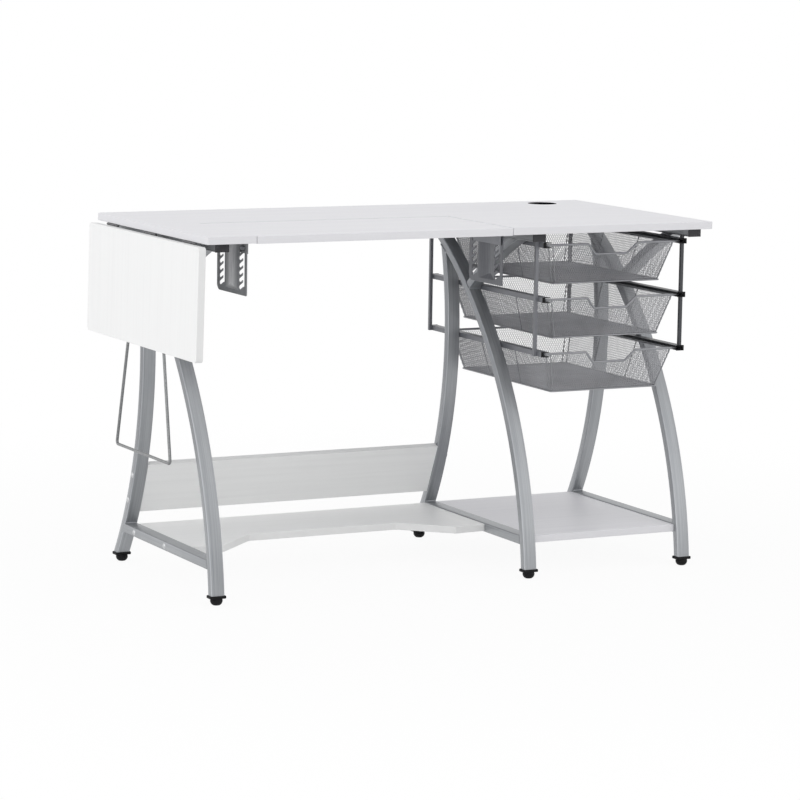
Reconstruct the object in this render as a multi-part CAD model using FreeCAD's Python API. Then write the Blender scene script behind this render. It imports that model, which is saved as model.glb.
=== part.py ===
"""Folding sewing and cutting table: fixed top, drop-in platform, drop leaf, three basket drawers.

Millimetres.  The shop frame used for every dimension below has x from the left edge of the
top, y from its front edge and z from the floor.  The finished part is moved so that its
origin is on the floor under the middle of the whole table.
"""
import FreeCAD, Part
import math
import os

V = FreeCAD.Vector
ALONG_X = V(1, 0, 0)
ALONG_Y = V(0, 1, 0)
ALONG_Z = V(0, 0, 1)

# ---- driving dimensions -------------------------------------------------------------------
TOP_WIDTH = 1200.0
TOP_DEPTH = 600.0
TOP_HEIGHT = 765.0
BOARD = 16.0                       # thickness of the top and of the platform
CORNER = 6.0                       # plan radius of the board corners
SMALL_CORNER = 2.0                 # plan radius where two boards meet, and at board ends
SOFT_EDGE = 1.2                    # rounding along the board edges
UNDERSIDE = TOP_HEIGHT - BOARD

CUTOUT_LEFT = 110.0                # opening in the front of the top that the platform fills
CUTOUT_RIGHT = 704.0
CUTOUT_DEPTH = 300.0
SEAM = 1.0                         # gap round the platform
PLATFORM_SINK = 1.0                # the platform sits this much below the top

FRAME_X = {"left": 42.5, "middle": 778.5, "right": 1166.0}
TUBE_WIDTH = 30.0                  # all frame tubes, measured along x
TUBE_WALL = 1.5
LEG_THICK = 18.0
RAIL_HEIGHT = 18.0
RAIL_INSET = 20.0                  # from the front and back edges of the top to the rail caps
STRETCHER_LOW = 72.0
STRETCHER_HIGH = 92.0
LEG_RADIUS = 916.0                 # bend of the front leg and of the brace
FRONT_LEG_CENTRE = (950.0, -64.0)  # (y, z)
BRACE_CENTRE = (-254.0, -109.0)
BACK_LEG_RADIUS = 832.0
BACK_LEG_CENTRE = (1243.0, 491.0)
FOOT_TOP = 20.0                    # the leg tubes end here
CAP_TOP_TO_GLIDE = 14.0            # underside of the foot caps
GLIDE_Y = {"front": 38.0, "back": 556.0}

SHELF_LOW = 74.5
SHELF_HIGH = 90.0
PANEL_MIDDLE = (472.5, 177.0)      # (y, z) of the modesty panel's middle
PANEL_TILT = 24.0                  # its top edge leans this many degrees to the front
PANEL_HEIGHT = 121.0
PANEL_THICK = 15.0

LEAF_THICK = 16.0
LEAF_LENGTH = 235.0
LEAF_CORNER = 8.0
LEAF_TILT = 1.3                    # the leaf hangs a little out of the vertical
HINGE_X = 1.0
HINGE_Z = 746.0
HINGE_PLACES = (90.0, 300.0, 510.0)
HINGE_LENGTH = 60.0
KNUCKLE_RADIUS = 2.6
HINGE_PIN_RADIUS = 1.3
RUNNING_GAP = 0.05
PLATE = 1.5                        # hinge plates, notched plates and hangers

SUPPORT_ROD = 3.25                 # radius of the leaf support
SUPPORT_X = 3.5
SUPPORT_MIDDLE_Y = 316.0
SUPPORT_PIVOT_Z = 570.0
SUPPORT_PIVOT_HALF = 84.0
SUPPORT_BAR_Z = 277.0
SUPPORT_BAR_HALF = 148.0
SUPPORT_BEND = 7.0                 # bend radius of the rod's corners
CLIP_WIDTH = 10.0

NOTCH_FRONT_Y = 47.0               # front edge of the notched plates
NOTCH_LENGTH = 150.0
NOTCH_LOW_Z = 636.0
NOTCH_PITCH = 15.0
NOTCH_STEPS = 5                    # notches below the first one
NOTCH_COLUMNS = (15.5, 115.5)      # from the plate's front edge to each upright slot
SLOT_RADIUS = 4.5
PIN_RADIUS = 4.0
PIN_REST_Z = 735.0                 # height of the platform's pins with the platform up
NOTCH_BACK = 17.5                  # each notch runs back and down from the upright slot
NOTCH_DOWN = 8.5

DRAWER_LEFT = 794.0                # outer faces of the drawer frame
DRAWER_RIGHT = 1150.7
RUNNER_WIDTH = 17.5
RUNNER_HEIGHT = 10.6
RUNNER_WALL = 1.2
RUNNER_FRONT = 31.0
RUNNER_BACK = 545.0
RUNNER_Z = {"top": 722.0, "middle": 604.5, "bottom": 487.0}
POST = 7.0                         # the posts stand outside the runners, under the top rails
POST_FRONT = 50.0
POST_BACK = 538.0

BASKET_ROD = 2.5
BASKET_RIM_DROP = 1.5              # the rim rests low in its runners
BASKET_FRONT = 45.0
BASKET_BACK = 500.0
BASKET_DEPTH = 85.0
BASKET_SIDE_TAPER = 24.0
BASKET_FRONT_TAPER = 26.0
BASKET_BACK_TAPER = 23.0
BASKET_CORNER = 5.0
BASKET_FLANGE = 13.0               # from the rim rod in the runner to the basket wall
BASKET_RIB = 1.2
BASKET_RIB_PROUD = 0.8             # from the face of a wall out to the middle of its ribs
BASKET_FLOOR_ROD = 1.8
BASKET_SKIN = 1.0
RIM_BEND = 7.0                     # bend radius of the rim rod
DIP_TOP = 123.0                    # finger dip in the front rim
DIP_BOTTOM = 80.0
DIP_DEPTH = 23.0

GROMMET_X = 1073.0
GROMMET_Y = 535.0
GROMMET_FLANGE_RADIUS = 33.0
GROMMET_SLEEVE_RADIUS = 29.7

BOLT_RADIUS = 3.0
BOLT_HEAD_RADIUS = 6.5
BOLT_HEAD_HEIGHT = 3.0
SCREW_RADIUS = 2.0
SCREW_HEAD_RADIUS = 4.2
SCREW_HEAD_HEIGHT = 1.6
SCREW_LENGTH = 12.0                # screws up into the top; shorter ones say so
HOLE_GAP = 0.1                     # round every bolt and screw, and past its end
PAST = 1.0                         # how far a cutter runs past the face it opens

# ---- worked out from the driving dimensions -----------------------------------------------
LEAF_INNER_X = HINGE_X - (TOP_HEIGHT - LEAF_THICK - HINGE_Z)
LEAF_TOP_Z = HINGE_Z - HINGE_X - 1.0
RAIL_LOW = UNDERSIDE - RAIL_HEIGHT
BASKET_LEFT = DRAWER_LEFT + 12.5
BASKET_RIGHT = DRAWER_RIGHT - 7.2
PLATFORM_LOW = UNDERSIDE - PLATFORM_SINK
NOTCH_BACK_Y = NOTCH_FRONT_Y + NOTCH_LENGTH
PLATE_LOW = UNDERSIDE - PLATE      # underside of every plate screwed to the top
CLIP_RADIUS = SUPPORT_X - LEAF_INNER_X - 0.1
DOWN = ALONG_Z * -1


# ---- small helpers ------------------------------------------------------------------------
def box(x, y, z):
    """A box from three (low, high) pairs."""
    return Part.makeBox(x[1] - x[0], y[1] - y[0], z[1] - z[0], V(x[0], y[0], z[0]))


def bar(start, end, radius):
    """A round bar from one point to another."""
    run = end - start
    return Part.makeCylinder(radius, run.Length, start, run)


def fuse(solids):
    """One solid from several that touch or overlap."""
    joined = solids[0]
    for solid in solids[1:]:
        joined = joined.fuse(solid)
    return joined.removeSplitter()


def cut_all(solid, tools):
    for tool in tools:
        solid = solid.cut(tool)
    return solid


def rounded_outline(corners):
    """A closed wire in the plane z = 0 through (x, y, radius) corners."""
    count = len(corners)
    ends = []
    for i, (x, y, radius) in enumerate(corners):
        here = V(x, y, 0)
        before = V(corners[i - 1][0], corners[i - 1][1], 0) - here
        after = V(corners[(i + 1) % count][0], corners[(i + 1) % count][1], 0) - here
        before.normalize()
        after.normalize()
        half = before.getAngle(after) / 2
        if radius == 0:
            ends.append((here, here, here))
            continue
        reach = radius / math.tan(half)
        inward = before + after
        inward.normalize()
        middle = here + inward * (radius / math.sin(half) - radius)
        ends.append((here + before * reach, middle, here + after * reach))
    edges = []
    for i, (enter, middle, leave) in enumerate(ends):
        if enter != leave:
            edges.append(Part.Arc(enter, middle, leave).toShape())
        edges.append(Part.makeLine(leave, ends[(i + 1) % count][0]))
    return Part.Wire(edges)


def board(corners, low, high, soft=SOFT_EDGE):
    """A flat board with rounded plan corners and softened edges."""
    solid = Part.Face(rounded_outline(corners)).extrude(V(0, 0, high - low))
    solid.translate(V(0, 0, low))
    rims = [edge for edge in solid.Edges if edge.BoundBox.ZLength < 0.001]
    return solid.makeFillet(soft, rims)


def rectangle(x, y, radius):
    """Corner list of a rectangle from two (low, high) pairs."""
    return [(x[0], y[0], radius), (x[1], y[0], radius), (x[1], y[1], radius), (x[0], y[1], radius)]


def bent_rod(points, radius, bend):
    """A round rod along straight runs, with an arc of radius bend at each inner point."""
    edges = []
    start = points[0]
    for i in range(1, len(points) - 1):
        here = points[i]
        before = (points[i - 1] - here).normalize()
        after = (points[i + 1] - here).normalize()
        half = before.getAngle(after) / 2
        reach = bend / math.tan(half)
        middle = here + (before + after).normalize() * (bend / math.sin(half) - bend)
        enter = here + before * reach
        leave = here + after * reach
        edges.append(Part.makeLine(start, enter))
        edges.append(Part.Arc(enter, middle, leave).toShape())
        start = leave
    edges.append(Part.makeLine(start, points[-1]))
    first_run = points[1] - points[0]
    profile = Part.Wire(Part.makeCircle(radius, points[0], first_run))
    return Part.Wire(edges).makePipeShell([profile], True, False)


def tube(x_mid, y, z):
    """A straight rectangular tube along y, TUBE_WIDTH wide along x."""
    half = TUBE_WIDTH / 2
    outer = box((x_mid - half, x_mid + half), y, z)
    inner = box((x_mid - half + TUBE_WALL, x_mid + half - TUBE_WALL), (y[0] - 1, y[1] + 1),
                (z[0] + TUBE_WALL, z[1] - TUBE_WALL))
    return outer.cut(inner)


def disc(x_mid, centre, radius, width=TUBE_WIDTH):
    """A flat round disc, its axis along x through (y, z)."""
    return Part.makeCylinder(radius, width, V(x_mid - width / 2, centre[0], centre[1]), ALONG_X)


def curved_tube(x_mid, centre, radius, y, z):
    """The stretch of a ring of rectangular tube that lies inside the given y and z ranges."""
    half = LEG_THICK / 2
    keep = box((x_mid - TUBE_WIDTH, x_mid + TUBE_WIDTH), y, z)
    outer = disc(x_mid, centre, radius + half).cut(disc(x_mid, centre, radius - half))
    hollow_width = TUBE_WIDTH - 2 * TUBE_WALL
    inner = disc(x_mid, centre, radius + half - TUBE_WALL, hollow_width)
    inner = inner.cut(disc(x_mid, centre, radius - half + TUBE_WALL, hollow_width))
    return outer.common(keep).cut(inner)


def domed_head(at, pointing, radius, height):
    """A low domed screw head that stands on the point at and bulges towards pointing."""
    ball = (radius * radius + height * height) / (2 * height)
    sphere = Part.makeSphere(ball, at + pointing * (height - ball), pointing)
    return sphere.common(Part.makeCylinder(radius + 1, height, at, pointing))


def bolt(at, pointing, length):
    """A bolt with its head's flat at the point at; its shank runs against pointing."""
    shank = Part.makeCylinder(BOLT_RADIUS, length, at, pointing * -1)
    return fuse([shank, domed_head(at, pointing, BOLT_HEAD_RADIUS, BOLT_HEAD_HEIGHT)])


def screw(at, pointing, length):
    """A small screw, placed like a bolt."""
    shank = Part.makeCylinder(SCREW_RADIUS, length, at, pointing * -1)
    return fuse([shank, domed_head(at, pointing, SCREW_HEAD_RADIUS, SCREW_HEAD_HEIGHT)])


def hole(at, pointing, length, radius=BOLT_RADIUS):
    """The cutter for a bolt or screw placed at the point at."""
    reach = length + HOLE_GAP
    return Part.makeCylinder(radius + HOLE_GAP, reach, at, pointing * -1)


# ---- top, platform and grommet ------------------------------------------------------------
RAIL_SCREW_Y = (64.0, 250.0, 536.0)
RAIL_SCREW_LENGTH = RAIL_HEIGHT + 10.0
FLANGE_SCREW_Y = (24.0, 126.0)     # from the front edge of a notched plate
FLANGE_SCREW_X = 11.0              # from the cutout outwards
HINGE_SCREW_X = 17.0
HINGE_SCREW_SIDE = 20.0


def rail_screw_places():
    return [V(x, y, RAIL_LOW) for x in FRAME_X.values() for y in RAIL_SCREW_Y]


def flange_screw_places():
    """Screws that hold the notched plates to the underside of the top."""
    rows = (CUTOUT_LEFT - FLANGE_SCREW_X, CUTOUT_RIGHT + FLANGE_SCREW_X)
    return [V(x, NOTCH_FRONT_Y + y, PLATE_LOW) for x in rows for y in FLANGE_SCREW_Y]


def hinge_screw_places():
    """Screws that hold the fixed hinge halves to the underside of the top."""
    sides = (-HINGE_SCREW_SIDE, HINGE_SCREW_SIDE)
    return [V(HINGE_SCREW_X, y + side, PLATE_LOW) for y in HINGE_PLACES for side in sides]


def screws(places, pointing, length):
    return [screw(at, pointing, length) for at in places]


def screw_holes(places, pointing, length):
    return [hole(at, pointing, length, SCREW_RADIUS) for at in places]


def rail_screw_holes():
    return [hole(at, DOWN, RAIL_SCREW_LENGTH) for at in rail_screw_places()]


def plate_screw_holes():
    places = flange_screw_places() + hinge_screw_places()
    return screw_holes(places, DOWN, SCREW_LENGTH)


def make_table_top():
    outline = [
        (0, 0, CORNER), (CUTOUT_LEFT, 0, SMALL_CORNER),
        (CUTOUT_LEFT, CUTOUT_DEPTH, SMALL_CORNER + SEAM),
        (CUTOUT_RIGHT, CUTOUT_DEPTH, SMALL_CORNER + SEAM),
        (CUTOUT_RIGHT, 0, SMALL_CORNER), (TOP_WIDTH, 0, CORNER),
        (TOP_WIDTH, TOP_DEPTH, CORNER), (0, TOP_DEPTH, CORNER),
    ]
    top = board(outline, UNDERSIDE, TOP_HEIGHT)
    below = V(GROMMET_X, GROMMET_Y, UNDERSIDE - PAST)
    bore = Part.makeCylinder(GROMMET_SLEEVE_RADIUS + GROMMET_GAP, BOARD + 2 * PAST, below)
    ledge = V(GROMMET_X, GROMMET_Y, GROMMET_FLANGE_LOW - HOLE_GAP)
    seat = Part.makeCylinder(GROMMET_FLANGE_RADIUS + GROMMET_GAP, BOARD, ledge)
    return cut_all(top, [bore, seat] + rail_screw_holes() + plate_screw_holes())


def revolve(profile):
    """A solid of revolution about z through the grommet from (radius, z) points."""
    points = [V(radius, 0, z) for radius, z in profile]
    face = Part.Face(Part.makePolygon(points + [points[0]]))
    solid = face.revolve(V(0, 0, 0), ALONG_Z, 360)
    solid.translate(V(GROMMET_X, GROMMET_Y, 0))
    return solid


GROMMET_LEDGE_RADIUS = 25.5
GROMMET_RECESS_RADIUS = 28.0
GROMMET_LEDGE_Z = TOP_HEIGHT - 3.5
GROMMET_FLANGE_LOW = TOP_HEIGHT - 2.5
GROMMET_GAP = 0.3
CABLE_NOTCH_HALF = 8.0
CABLE_NOTCH_Y = 13.0               # from the grommet's middle to the flat of the notch


def make_grommet_ring():
    return revolve([
        (GROMMET_RECESS_RADIUS, TOP_HEIGHT), (GROMMET_FLANGE_RADIUS, TOP_HEIGHT),
        (GROMMET_FLANGE_RADIUS, GROMMET_FLANGE_LOW), (GROMMET_SLEEVE_RADIUS, GROMMET_FLANGE_LOW),
        (GROMMET_SLEEVE_RADIUS, UNDERSIDE + 1), (GROMMET_LEDGE_RADIUS, UNDERSIDE + 1),
        (GROMMET_LEDGE_RADIUS, GROMMET_LEDGE_Z), (GROMMET_RECESS_RADIUS, GROMMET_LEDGE_Z),
    ])


def make_grommet_cap():
    low = GROMMET_LEDGE_Z + HOLE_GAP
    radius = GROMMET_RECESS_RADIUS - GROMMET_GAP
    cap = Part.makeCylinder(radius, TOP_HEIGHT - low, V(GROMMET_X, GROMMET_Y, low))
    notch_x = (GROMMET_X - CABLE_NOTCH_HALF, GROMMET_X + CABLE_NOTCH_HALF)
    notch_y = (GROMMET_Y + CABLE_NOTCH_Y, GROMMET_Y + GROMMET_FLANGE_RADIUS)
    return cap.cut(box(notch_x, notch_y, (low - PAST, TOP_HEIGHT + PAST)))


HANGER_SCREW_X = 14.0              # from the cutout inwards
HANGER_SCREW_Y = (30.0, 100.0)     # from the front edge of a notched plate
HANGER_SCREW_LENGTH = 10.0
HANGER_Y = (NOTCH_FRONT_Y + 4.0, NOTCH_FRONT_Y + 127.0)
HANGER_GAP = 2.0                   # between a hanger and its notched plate
HANGER_FLANGE = 22.0
HANGER_LOW = PIN_REST_Z - 12.0
PIN_LENGTH = 12.5


def hanger_screw_places():
    rows = (CUTOUT_LEFT + HANGER_SCREW_X, CUTOUT_RIGHT - HANGER_SCREW_X)
    return [V(x, NOTCH_FRONT_Y + y, PLATFORM_LOW - PLATE) for x in rows for y in HANGER_SCREW_Y]


def hanger_screw_holes():
    return screw_holes(hanger_screw_places(), DOWN, HANGER_SCREW_LENGTH)


def make_platform_board():
    x = (CUTOUT_LEFT + SEAM, CUTOUT_RIGHT - SEAM)
    outline = rectangle(x, (0, CUTOUT_DEPTH - SEAM), SMALL_CORNER)
    slab = board(outline, PLATFORM_LOW, PLATFORM_LOW + BOARD)
    return cut_all(slab, hanger_screw_holes())


def make_platform_hangers():
    """One angle bracket under each end of the platform, with two pins for the notched plates."""
    hangers = []
    for wall_x, inward in ((CUTOUT_LEFT + HANGER_GAP, 1), (CUTOUT_RIGHT - HANGER_GAP, -1)):
        wall_sides = sorted((wall_x, wall_x + inward * PLATE))
        flange_sides = sorted((wall_x, wall_x + inward * HANGER_FLANGE))
        pieces = [
            box(wall_sides, HANGER_Y, (HANGER_LOW, PLATFORM_LOW)),
            box(flange_sides, HANGER_Y, (PLATFORM_LOW - PLATE, PLATFORM_LOW)),
        ]
        for column in NOTCH_COLUMNS:
            root = V(wall_x + inward * PLATE, NOTCH_FRONT_Y + column, PIN_REST_Z)
            tip = V(wall_x - inward * PIN_LENGTH, root.y, root.z)
            pieces.append(bar(root, tip, PIN_RADIUS))
        hangers.append(cut_all(fuse(pieces), hanger_screw_holes()))
    return Part.makeCompound(hangers)


CUTTER_REACH = 20.0                # half the length of the cutters that notch a plate
RIB_START = 35.0                   # along a notched plate, from its front edge
RIB_END = 104.0
RIB_CREST = (62.0, 68.0)
RIB_LOW_Z = NOTCH_LOW_Z + 9.0
RIB_SLOPE = 12.0                   # from the rib's foot up to where its crest starts
RIB_LIFT = 6.0
REAR_CORNER = 14.0
FRONT_CORNER = 4.0
PLATE_FLANGE = 21.0


def stadium(plate_x, start, end):
    """A cutter through the plate at plate_x, round at both (y, z) ends."""
    a = V(plate_x - CUTTER_REACH, start[0], start[1])
    b = V(plate_x - CUTTER_REACH, end[0], end[1])
    across = (b - a).normalize().cross(ALONG_X) * SLOT_RADIUS
    sides = Part.makePolygon([a + across, b + across, b - across, a - across, a + across])
    body = Part.Face(sides).extrude(ALONG_X * 2 * CUTTER_REACH)
    ends = [Part.makeCylinder(SLOT_RADIUS, 2 * CUTTER_REACH, point, ALONG_X) for point in (a, b)]
    return fuse([body] + ends)


def notch_slots(plate_x):
    """The two saw-tooth slot columns of a notched plate."""
    slots = []
    for column in NOTCH_COLUMNS:
        y = NOTCH_FRONT_Y + column
        lowest = PIN_REST_Z - NOTCH_PITCH * NOTCH_STEPS
        slots.append(stadium(plate_x, (y, PIN_REST_Z + 1), (y, lowest - 2)))
        for step in range(NOTCH_STEPS + 1):
            z = PIN_REST_Z - NOTCH_PITCH * step
            slots.append(stadium(plate_x, (y, z), (y + NOTCH_BACK, z - NOTCH_DOWN)))
    return slots


def low_corner_trim(plate_x, edge_y, radius, inward):
    """What rounds off a low corner of a notched plate; inward is the y sense into the plate."""
    x = (plate_x - CUTTER_REACH, plate_x + CUTTER_REACH)
    y = edge_y + inward * radius
    z = NOTCH_LOW_Z + radius
    square = box(x, sorted((y, edge_y - inward * PAST)), (NOTCH_LOW_Z - PAST, z))
    return square.cut(Part.makeCylinder(radius, 2 * CUTTER_REACH, V(x[0], y, z), ALONG_X))


def rib_block(foot_x, outward):
    """A tapering block, raised outward from foot_x, in the shape of a notched plate's rib."""
    crest_x = foot_x + outward * RIB_LIFT
    outlines = []
    for x, (start, end), low in ((foot_x, (RIB_START, RIB_END), RIB_LOW_Z),
                                 (crest_x, RIB_CREST, RIB_LOW_Z + RIB_SLOPE)):
        near, far = NOTCH_FRONT_Y + start, NOTCH_FRONT_Y + end
        corners = [V(x, near, low), V(x, far, low), V(x, far, UNDERSIDE), V(x, near, UNDERSIDE)]
        outlines.append(Part.makePolygon(corners + corners[:1]))
    return Part.makeLoft(outlines, True, True)


def make_notch_plate(plate_x, outward):
    """A pressed plate with a raised middle rib, screwed by its flange to the top."""
    outer_x = plate_x + outward * PLATE
    length = (NOTCH_FRONT_Y, NOTCH_BACK_Y)
    wall = box(sorted((plate_x, outer_x)), length, (NOTCH_LOW_Z, UNDERSIDE))
    pressed = wall.fuse(rib_block(outer_x, outward)).cut(rib_block(plate_x, outward))
    trims = [low_corner_trim(plate_x, NOTCH_BACK_Y, REAR_CORNER, -1),
             low_corner_trim(plate_x, NOTCH_FRONT_Y, FRONT_CORNER, 1)]
    flange_x = sorted((plate_x, plate_x + outward * PLATE_FLANGE))
    flange = box(flange_x, length, (PLATE_LOW, UNDERSIDE))
    plate = fuse([cut_all(pressed, trims), flange])
    return cut_all(plate, notch_slots(plate_x) + plate_screw_holes())


# ---- end frames ---------------------------------------------------------------------------
PANEL_BOLT_REACH = 32.0            # along the panel, from its middle to each bolt
PANEL_BOLT_LENGTH = TUBE_WIDTH + 17.0
SHELF_BOLT_Y = (281.0, 449.0)
SHELF_BOLT_Z = 81.5
SHELF_BOLT_LENGTH = TUBE_WIDTH + 21.0
HALF_TUBE = TUBE_WIDTH / 2
HALF_LEG = LEG_THICK / 2
RAIL_CAP_FLANGE = 3.0
RAIL_CAP_PLUG = 11.0
PLUG_GAP = 0.15                    # between a plastic plug and its tube
BRACE_LOW_Z = 560.0                # below every brace, which ends at its front leg
BRACE_BACK_Y = 340.0


def panel_bolts():
    """(place, outward) of the bolts through the back legs into the ends of the modesty panel."""
    tilt = math.radians(PANEL_TILT)
    places = []
    for x, outward in ((FRAME_X["left"] - HALF_TUBE, -1), (FRAME_X["middle"] + HALF_TUBE, 1)):
        for reach in (-PANEL_BOLT_REACH, PANEL_BOLT_REACH):
            y = PANEL_MIDDLE[0] - reach * math.sin(tilt)
            z = PANEL_MIDDLE[1] + reach * math.cos(tilt)
            places.append((V(x, y, z), ALONG_X * outward))
    return places


def shelf_bolts():
    """(place, outward) of the bolts through the outer stretchers into the shelves."""
    ends = ((FRAME_X["left"] - HALF_TUBE, -1), (FRAME_X["right"] + HALF_TUBE, 1))
    return [(V(x, y, SHELF_BOLT_Z), ALONG_X * outward) for x, outward in ends for y in SHELF_BOLT_Y]


def shelf_studs(extra=0.0):
    """Plain studs through the middle stretcher that carry both shelves."""
    half_length = HALF_TUBE + 22.0 + extra
    studs = []
    for y in SHELF_BOLT_Y:
        middle = V(FRAME_X["middle"], y, SHELF_BOLT_Z)
        half = ALONG_X * half_length
        studs.append(bar(middle - half, middle + half, BOLT_RADIUS + extra))
    return studs


def frame_holes():
    """Cutters for everything that passes through the legs and stretchers."""
    holes = [hole(at, out, PANEL_BOLT_LENGTH) for at, out in panel_bolts()]
    holes += [hole(at, out, SHELF_BOLT_LENGTH) for at, out in shelf_bolts()]
    return holes + shelf_studs(HOLE_GAP)


def make_frame(x_mid):
    """The five tubes of one end frame, each cut to meet the next where it is welded."""
    reach_y = (-60, 760)
    reach_z = (FOOT_TOP, RAIL_LOW)
    wide = TUBE_WIDTH + 2 * PAST
    behind_front_leg = disc(x_mid, FRONT_LEG_CENTRE, LEG_RADIUS - HALF_LEG, wide)
    before_front_leg = disc(x_mid, FRONT_LEG_CENTRE, LEG_RADIUS + HALF_LEG, wide)
    before_back_leg = disc(x_mid, BACK_LEG_CENTRE, BACK_LEG_RADIUS + HALF_LEG, wide)
    front_leg = curved_tube(x_mid, FRONT_LEG_CENTRE, LEG_RADIUS, reach_y, reach_z)
    back_leg = curved_tube(x_mid, BACK_LEG_CENTRE, BACK_LEG_RADIUS, reach_y, reach_z)
    brace_z = (BRACE_LOW_Z, RAIL_LOW)
    brace = curved_tube(x_mid, BRACE_CENTRE, LEG_RADIUS, (0, BRACE_BACK_Y), brace_z)
    stretcher = tube(x_mid, (0, TOP_DEPTH), (STRETCHER_LOW, STRETCHER_HIGH))
    rail_end = RAIL_INSET + RAIL_CAP_FLANGE
    return {
        "front_leg": front_leg,
        "back_leg": back_leg.common(behind_front_leg),
        "brace": brace.cut(before_front_leg),
        "stretcher": stretcher.common(behind_front_leg).cut(before_back_leg),
        "top_rail": tube(x_mid, (rail_end, TOP_DEPTH - rail_end), (RAIL_LOW, UNDERSIDE)),
    }


def make_frames():
    nodes = {}
    for side, x_mid in FRAME_X.items():
        pieces = make_frame(x_mid)
        pieces["top_rail"] = cut_all(pieces["top_rail"], rail_screw_holes())
        for name in ("back_leg", "stretcher"):
            pieces[name] = cut_all(pieces[name], frame_holes())
        for name, solid in pieces.items():
            nodes[side + "_" + name] = solid
    return nodes


def make_rail_end_caps():
    """Plastic plugs in both ends of each top rail."""
    caps = []
    inset = TUBE_WALL + PLUG_GAP
    plug = HALF_TUBE - inset
    for x_mid in FRAME_X.values():
        for face_y, inward in ((RAIL_INSET, 1), (TOP_DEPTH - RAIL_INSET, -1)):
            root_y = face_y + inward * RAIL_CAP_FLANGE
            flange_y = sorted((face_y, root_y))
            insert_y = sorted((root_y, root_y + inward * RAIL_CAP_PLUG))
            flange = box((x_mid - HALF_TUBE, x_mid + HALF_TUBE), flange_y, (RAIL_LOW, UNDERSIDE))
            insert = box((x_mid - plug, x_mid + plug), insert_y, (RAIL_LOW + inset, UNDERSIDE - inset))
            caps.append(fuse([flange, insert]))
    return Part.makeCompound(caps)


FOOT_CAP_WIDTH = 36.0
FOOT_CAP_LENGTH = 24.0
FOOT_CAP_CORNER = 3.0
FOOT_CAP_EDGE = 1.5
FOOT_PLUG_TOP = 28.0
GLIDE_STUD_RADIUS = 3.0
GLIDE_STUD_TOP = FOOT_PLUG_TOP - 1.0
GLIDE_RADIUS = 13.0
GLIDE_FLAT_RADIUS = 7.0
GLIDE_BULGE = (11.6, 4.2)          # (radius, z) halfway up the glide's rounded underside
GLIDE_RIM_Z = 10.5
FOOT_BENDS = {"front": (FRONT_LEG_CENTRE, LEG_RADIUS), "back": (BACK_LEG_CENTRE, BACK_LEG_RADIUS)}


def foot_y(which):
    """Where the middle of a leg meets its foot cap."""
    centre, radius = FOOT_BENDS[which]
    return centre[0] - math.sqrt(radius ** 2 - (FOOT_TOP - centre[1]) ** 2)


def make_foot_plug(x_mid, which):
    """The part of a foot cap that fills the leg's end."""
    centre, radius = FOOT_BENDS[which]
    inset = TUBE_WALL + PLUG_GAP
    half = HALF_LEG - inset
    width = TUBE_WIDTH - 2 * inset
    outer = disc(x_mid, centre, radius + half, width)
    ring = outer.cut(disc(x_mid, centre, radius - half, width))
    y = foot_y(which)
    overlap = 0.5
    keep_z = (FOOT_TOP - overlap, FOOT_PLUG_TOP)
    return ring.common(box((x_mid - HALF_TUBE, x_mid + HALF_TUBE), (y - 30, y + 30), keep_z))


def make_foot_caps():
    """Plastic caps under the legs, each bored for the stud of its levelling glide."""
    caps = []
    for x_mid in FRAME_X.values():
        for which, glide_y in GLIDE_Y.items():
            y = foot_y(which)
            x_sides = (x_mid - FOOT_CAP_WIDTH / 2, x_mid + FOOT_CAP_WIDTH / 2)
            y_sides = (y - FOOT_CAP_LENGTH / 2, y + FOOT_CAP_LENGTH / 2)
            corners = rectangle(x_sides, y_sides, FOOT_CAP_CORNER)
            flange = board(corners, CAP_TOP_TO_GLIDE, FOOT_TOP, FOOT_CAP_EDGE)
            bore_radius = GLIDE_STUD_RADIUS + RUNNING_GAP
            bore = Part.makeCylinder(bore_radius, FOOT_PLUG_TOP + PAST, V(x_mid, glide_y, 0))
            caps.append(fuse([flange, make_foot_plug(x_mid, which)]).cut(bore))
    return Part.makeCompound(caps)


def make_glide(x_mid, y):
    """A domed glide with a stud that turns in its foot cap."""
    underside = [V(0, 0, 0), V(GLIDE_FLAT_RADIUS, 0, 0)]
    rim = V(GLIDE_RADIUS, 0, GLIDE_RIM_Z)
    bulge = Part.Arc(underside[1], V(GLIDE_BULGE[0], 0, GLIDE_BULGE[1]), rim).toShape()
    upper = [
        rim, V(GLIDE_RADIUS - 1, 0, CAP_TOP_TO_GLIDE), V(GLIDE_STUD_RADIUS, 0, CAP_TOP_TO_GLIDE),
        V(GLIDE_STUD_RADIUS, 0, GLIDE_STUD_TOP), V(0, 0, GLIDE_STUD_TOP), V(0, 0, 0),
    ]
    edges = [Part.makeLine(*underside), bulge] + Part.makePolygon(upper).Edges
    solid = Part.Face(Part.Wire(edges)).revolve(V(0, 0, 0), ALONG_Z, 360)
    solid.translate(V(x_mid, y, 0))
    return solid


def make_glides():
    return {side + "_" + which + "_glide": make_glide(x_mid, y)
            for side, x_mid in FRAME_X.items() for which, y in GLIDE_Y.items()}


# ---- shelves and modesty panel ------------------------------------------------------------
BAY_LEFT = FRAME_X["left"] + HALF_TUBE
BAY_RIGHT = FRAME_X["middle"] - HALF_TUBE
MAIN_SHELF_FRONT = 206.0           # at its ends; the middle is cut back for the feet
MAIN_SHELF_RECESS = 299.0
MAIN_SHELF_BACK = 503.0
EAR = (6.0, 76.0)                  # (how far its front edge falls back at the frame, length)
SHELF_SLOPE = 99.0                 # along x, from an ear to the recess
EAR_CORNER = 6.0
RECESS_CORNER = 10.0
SIDE_SHELF_Y = (48.0, 510.0)


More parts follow.
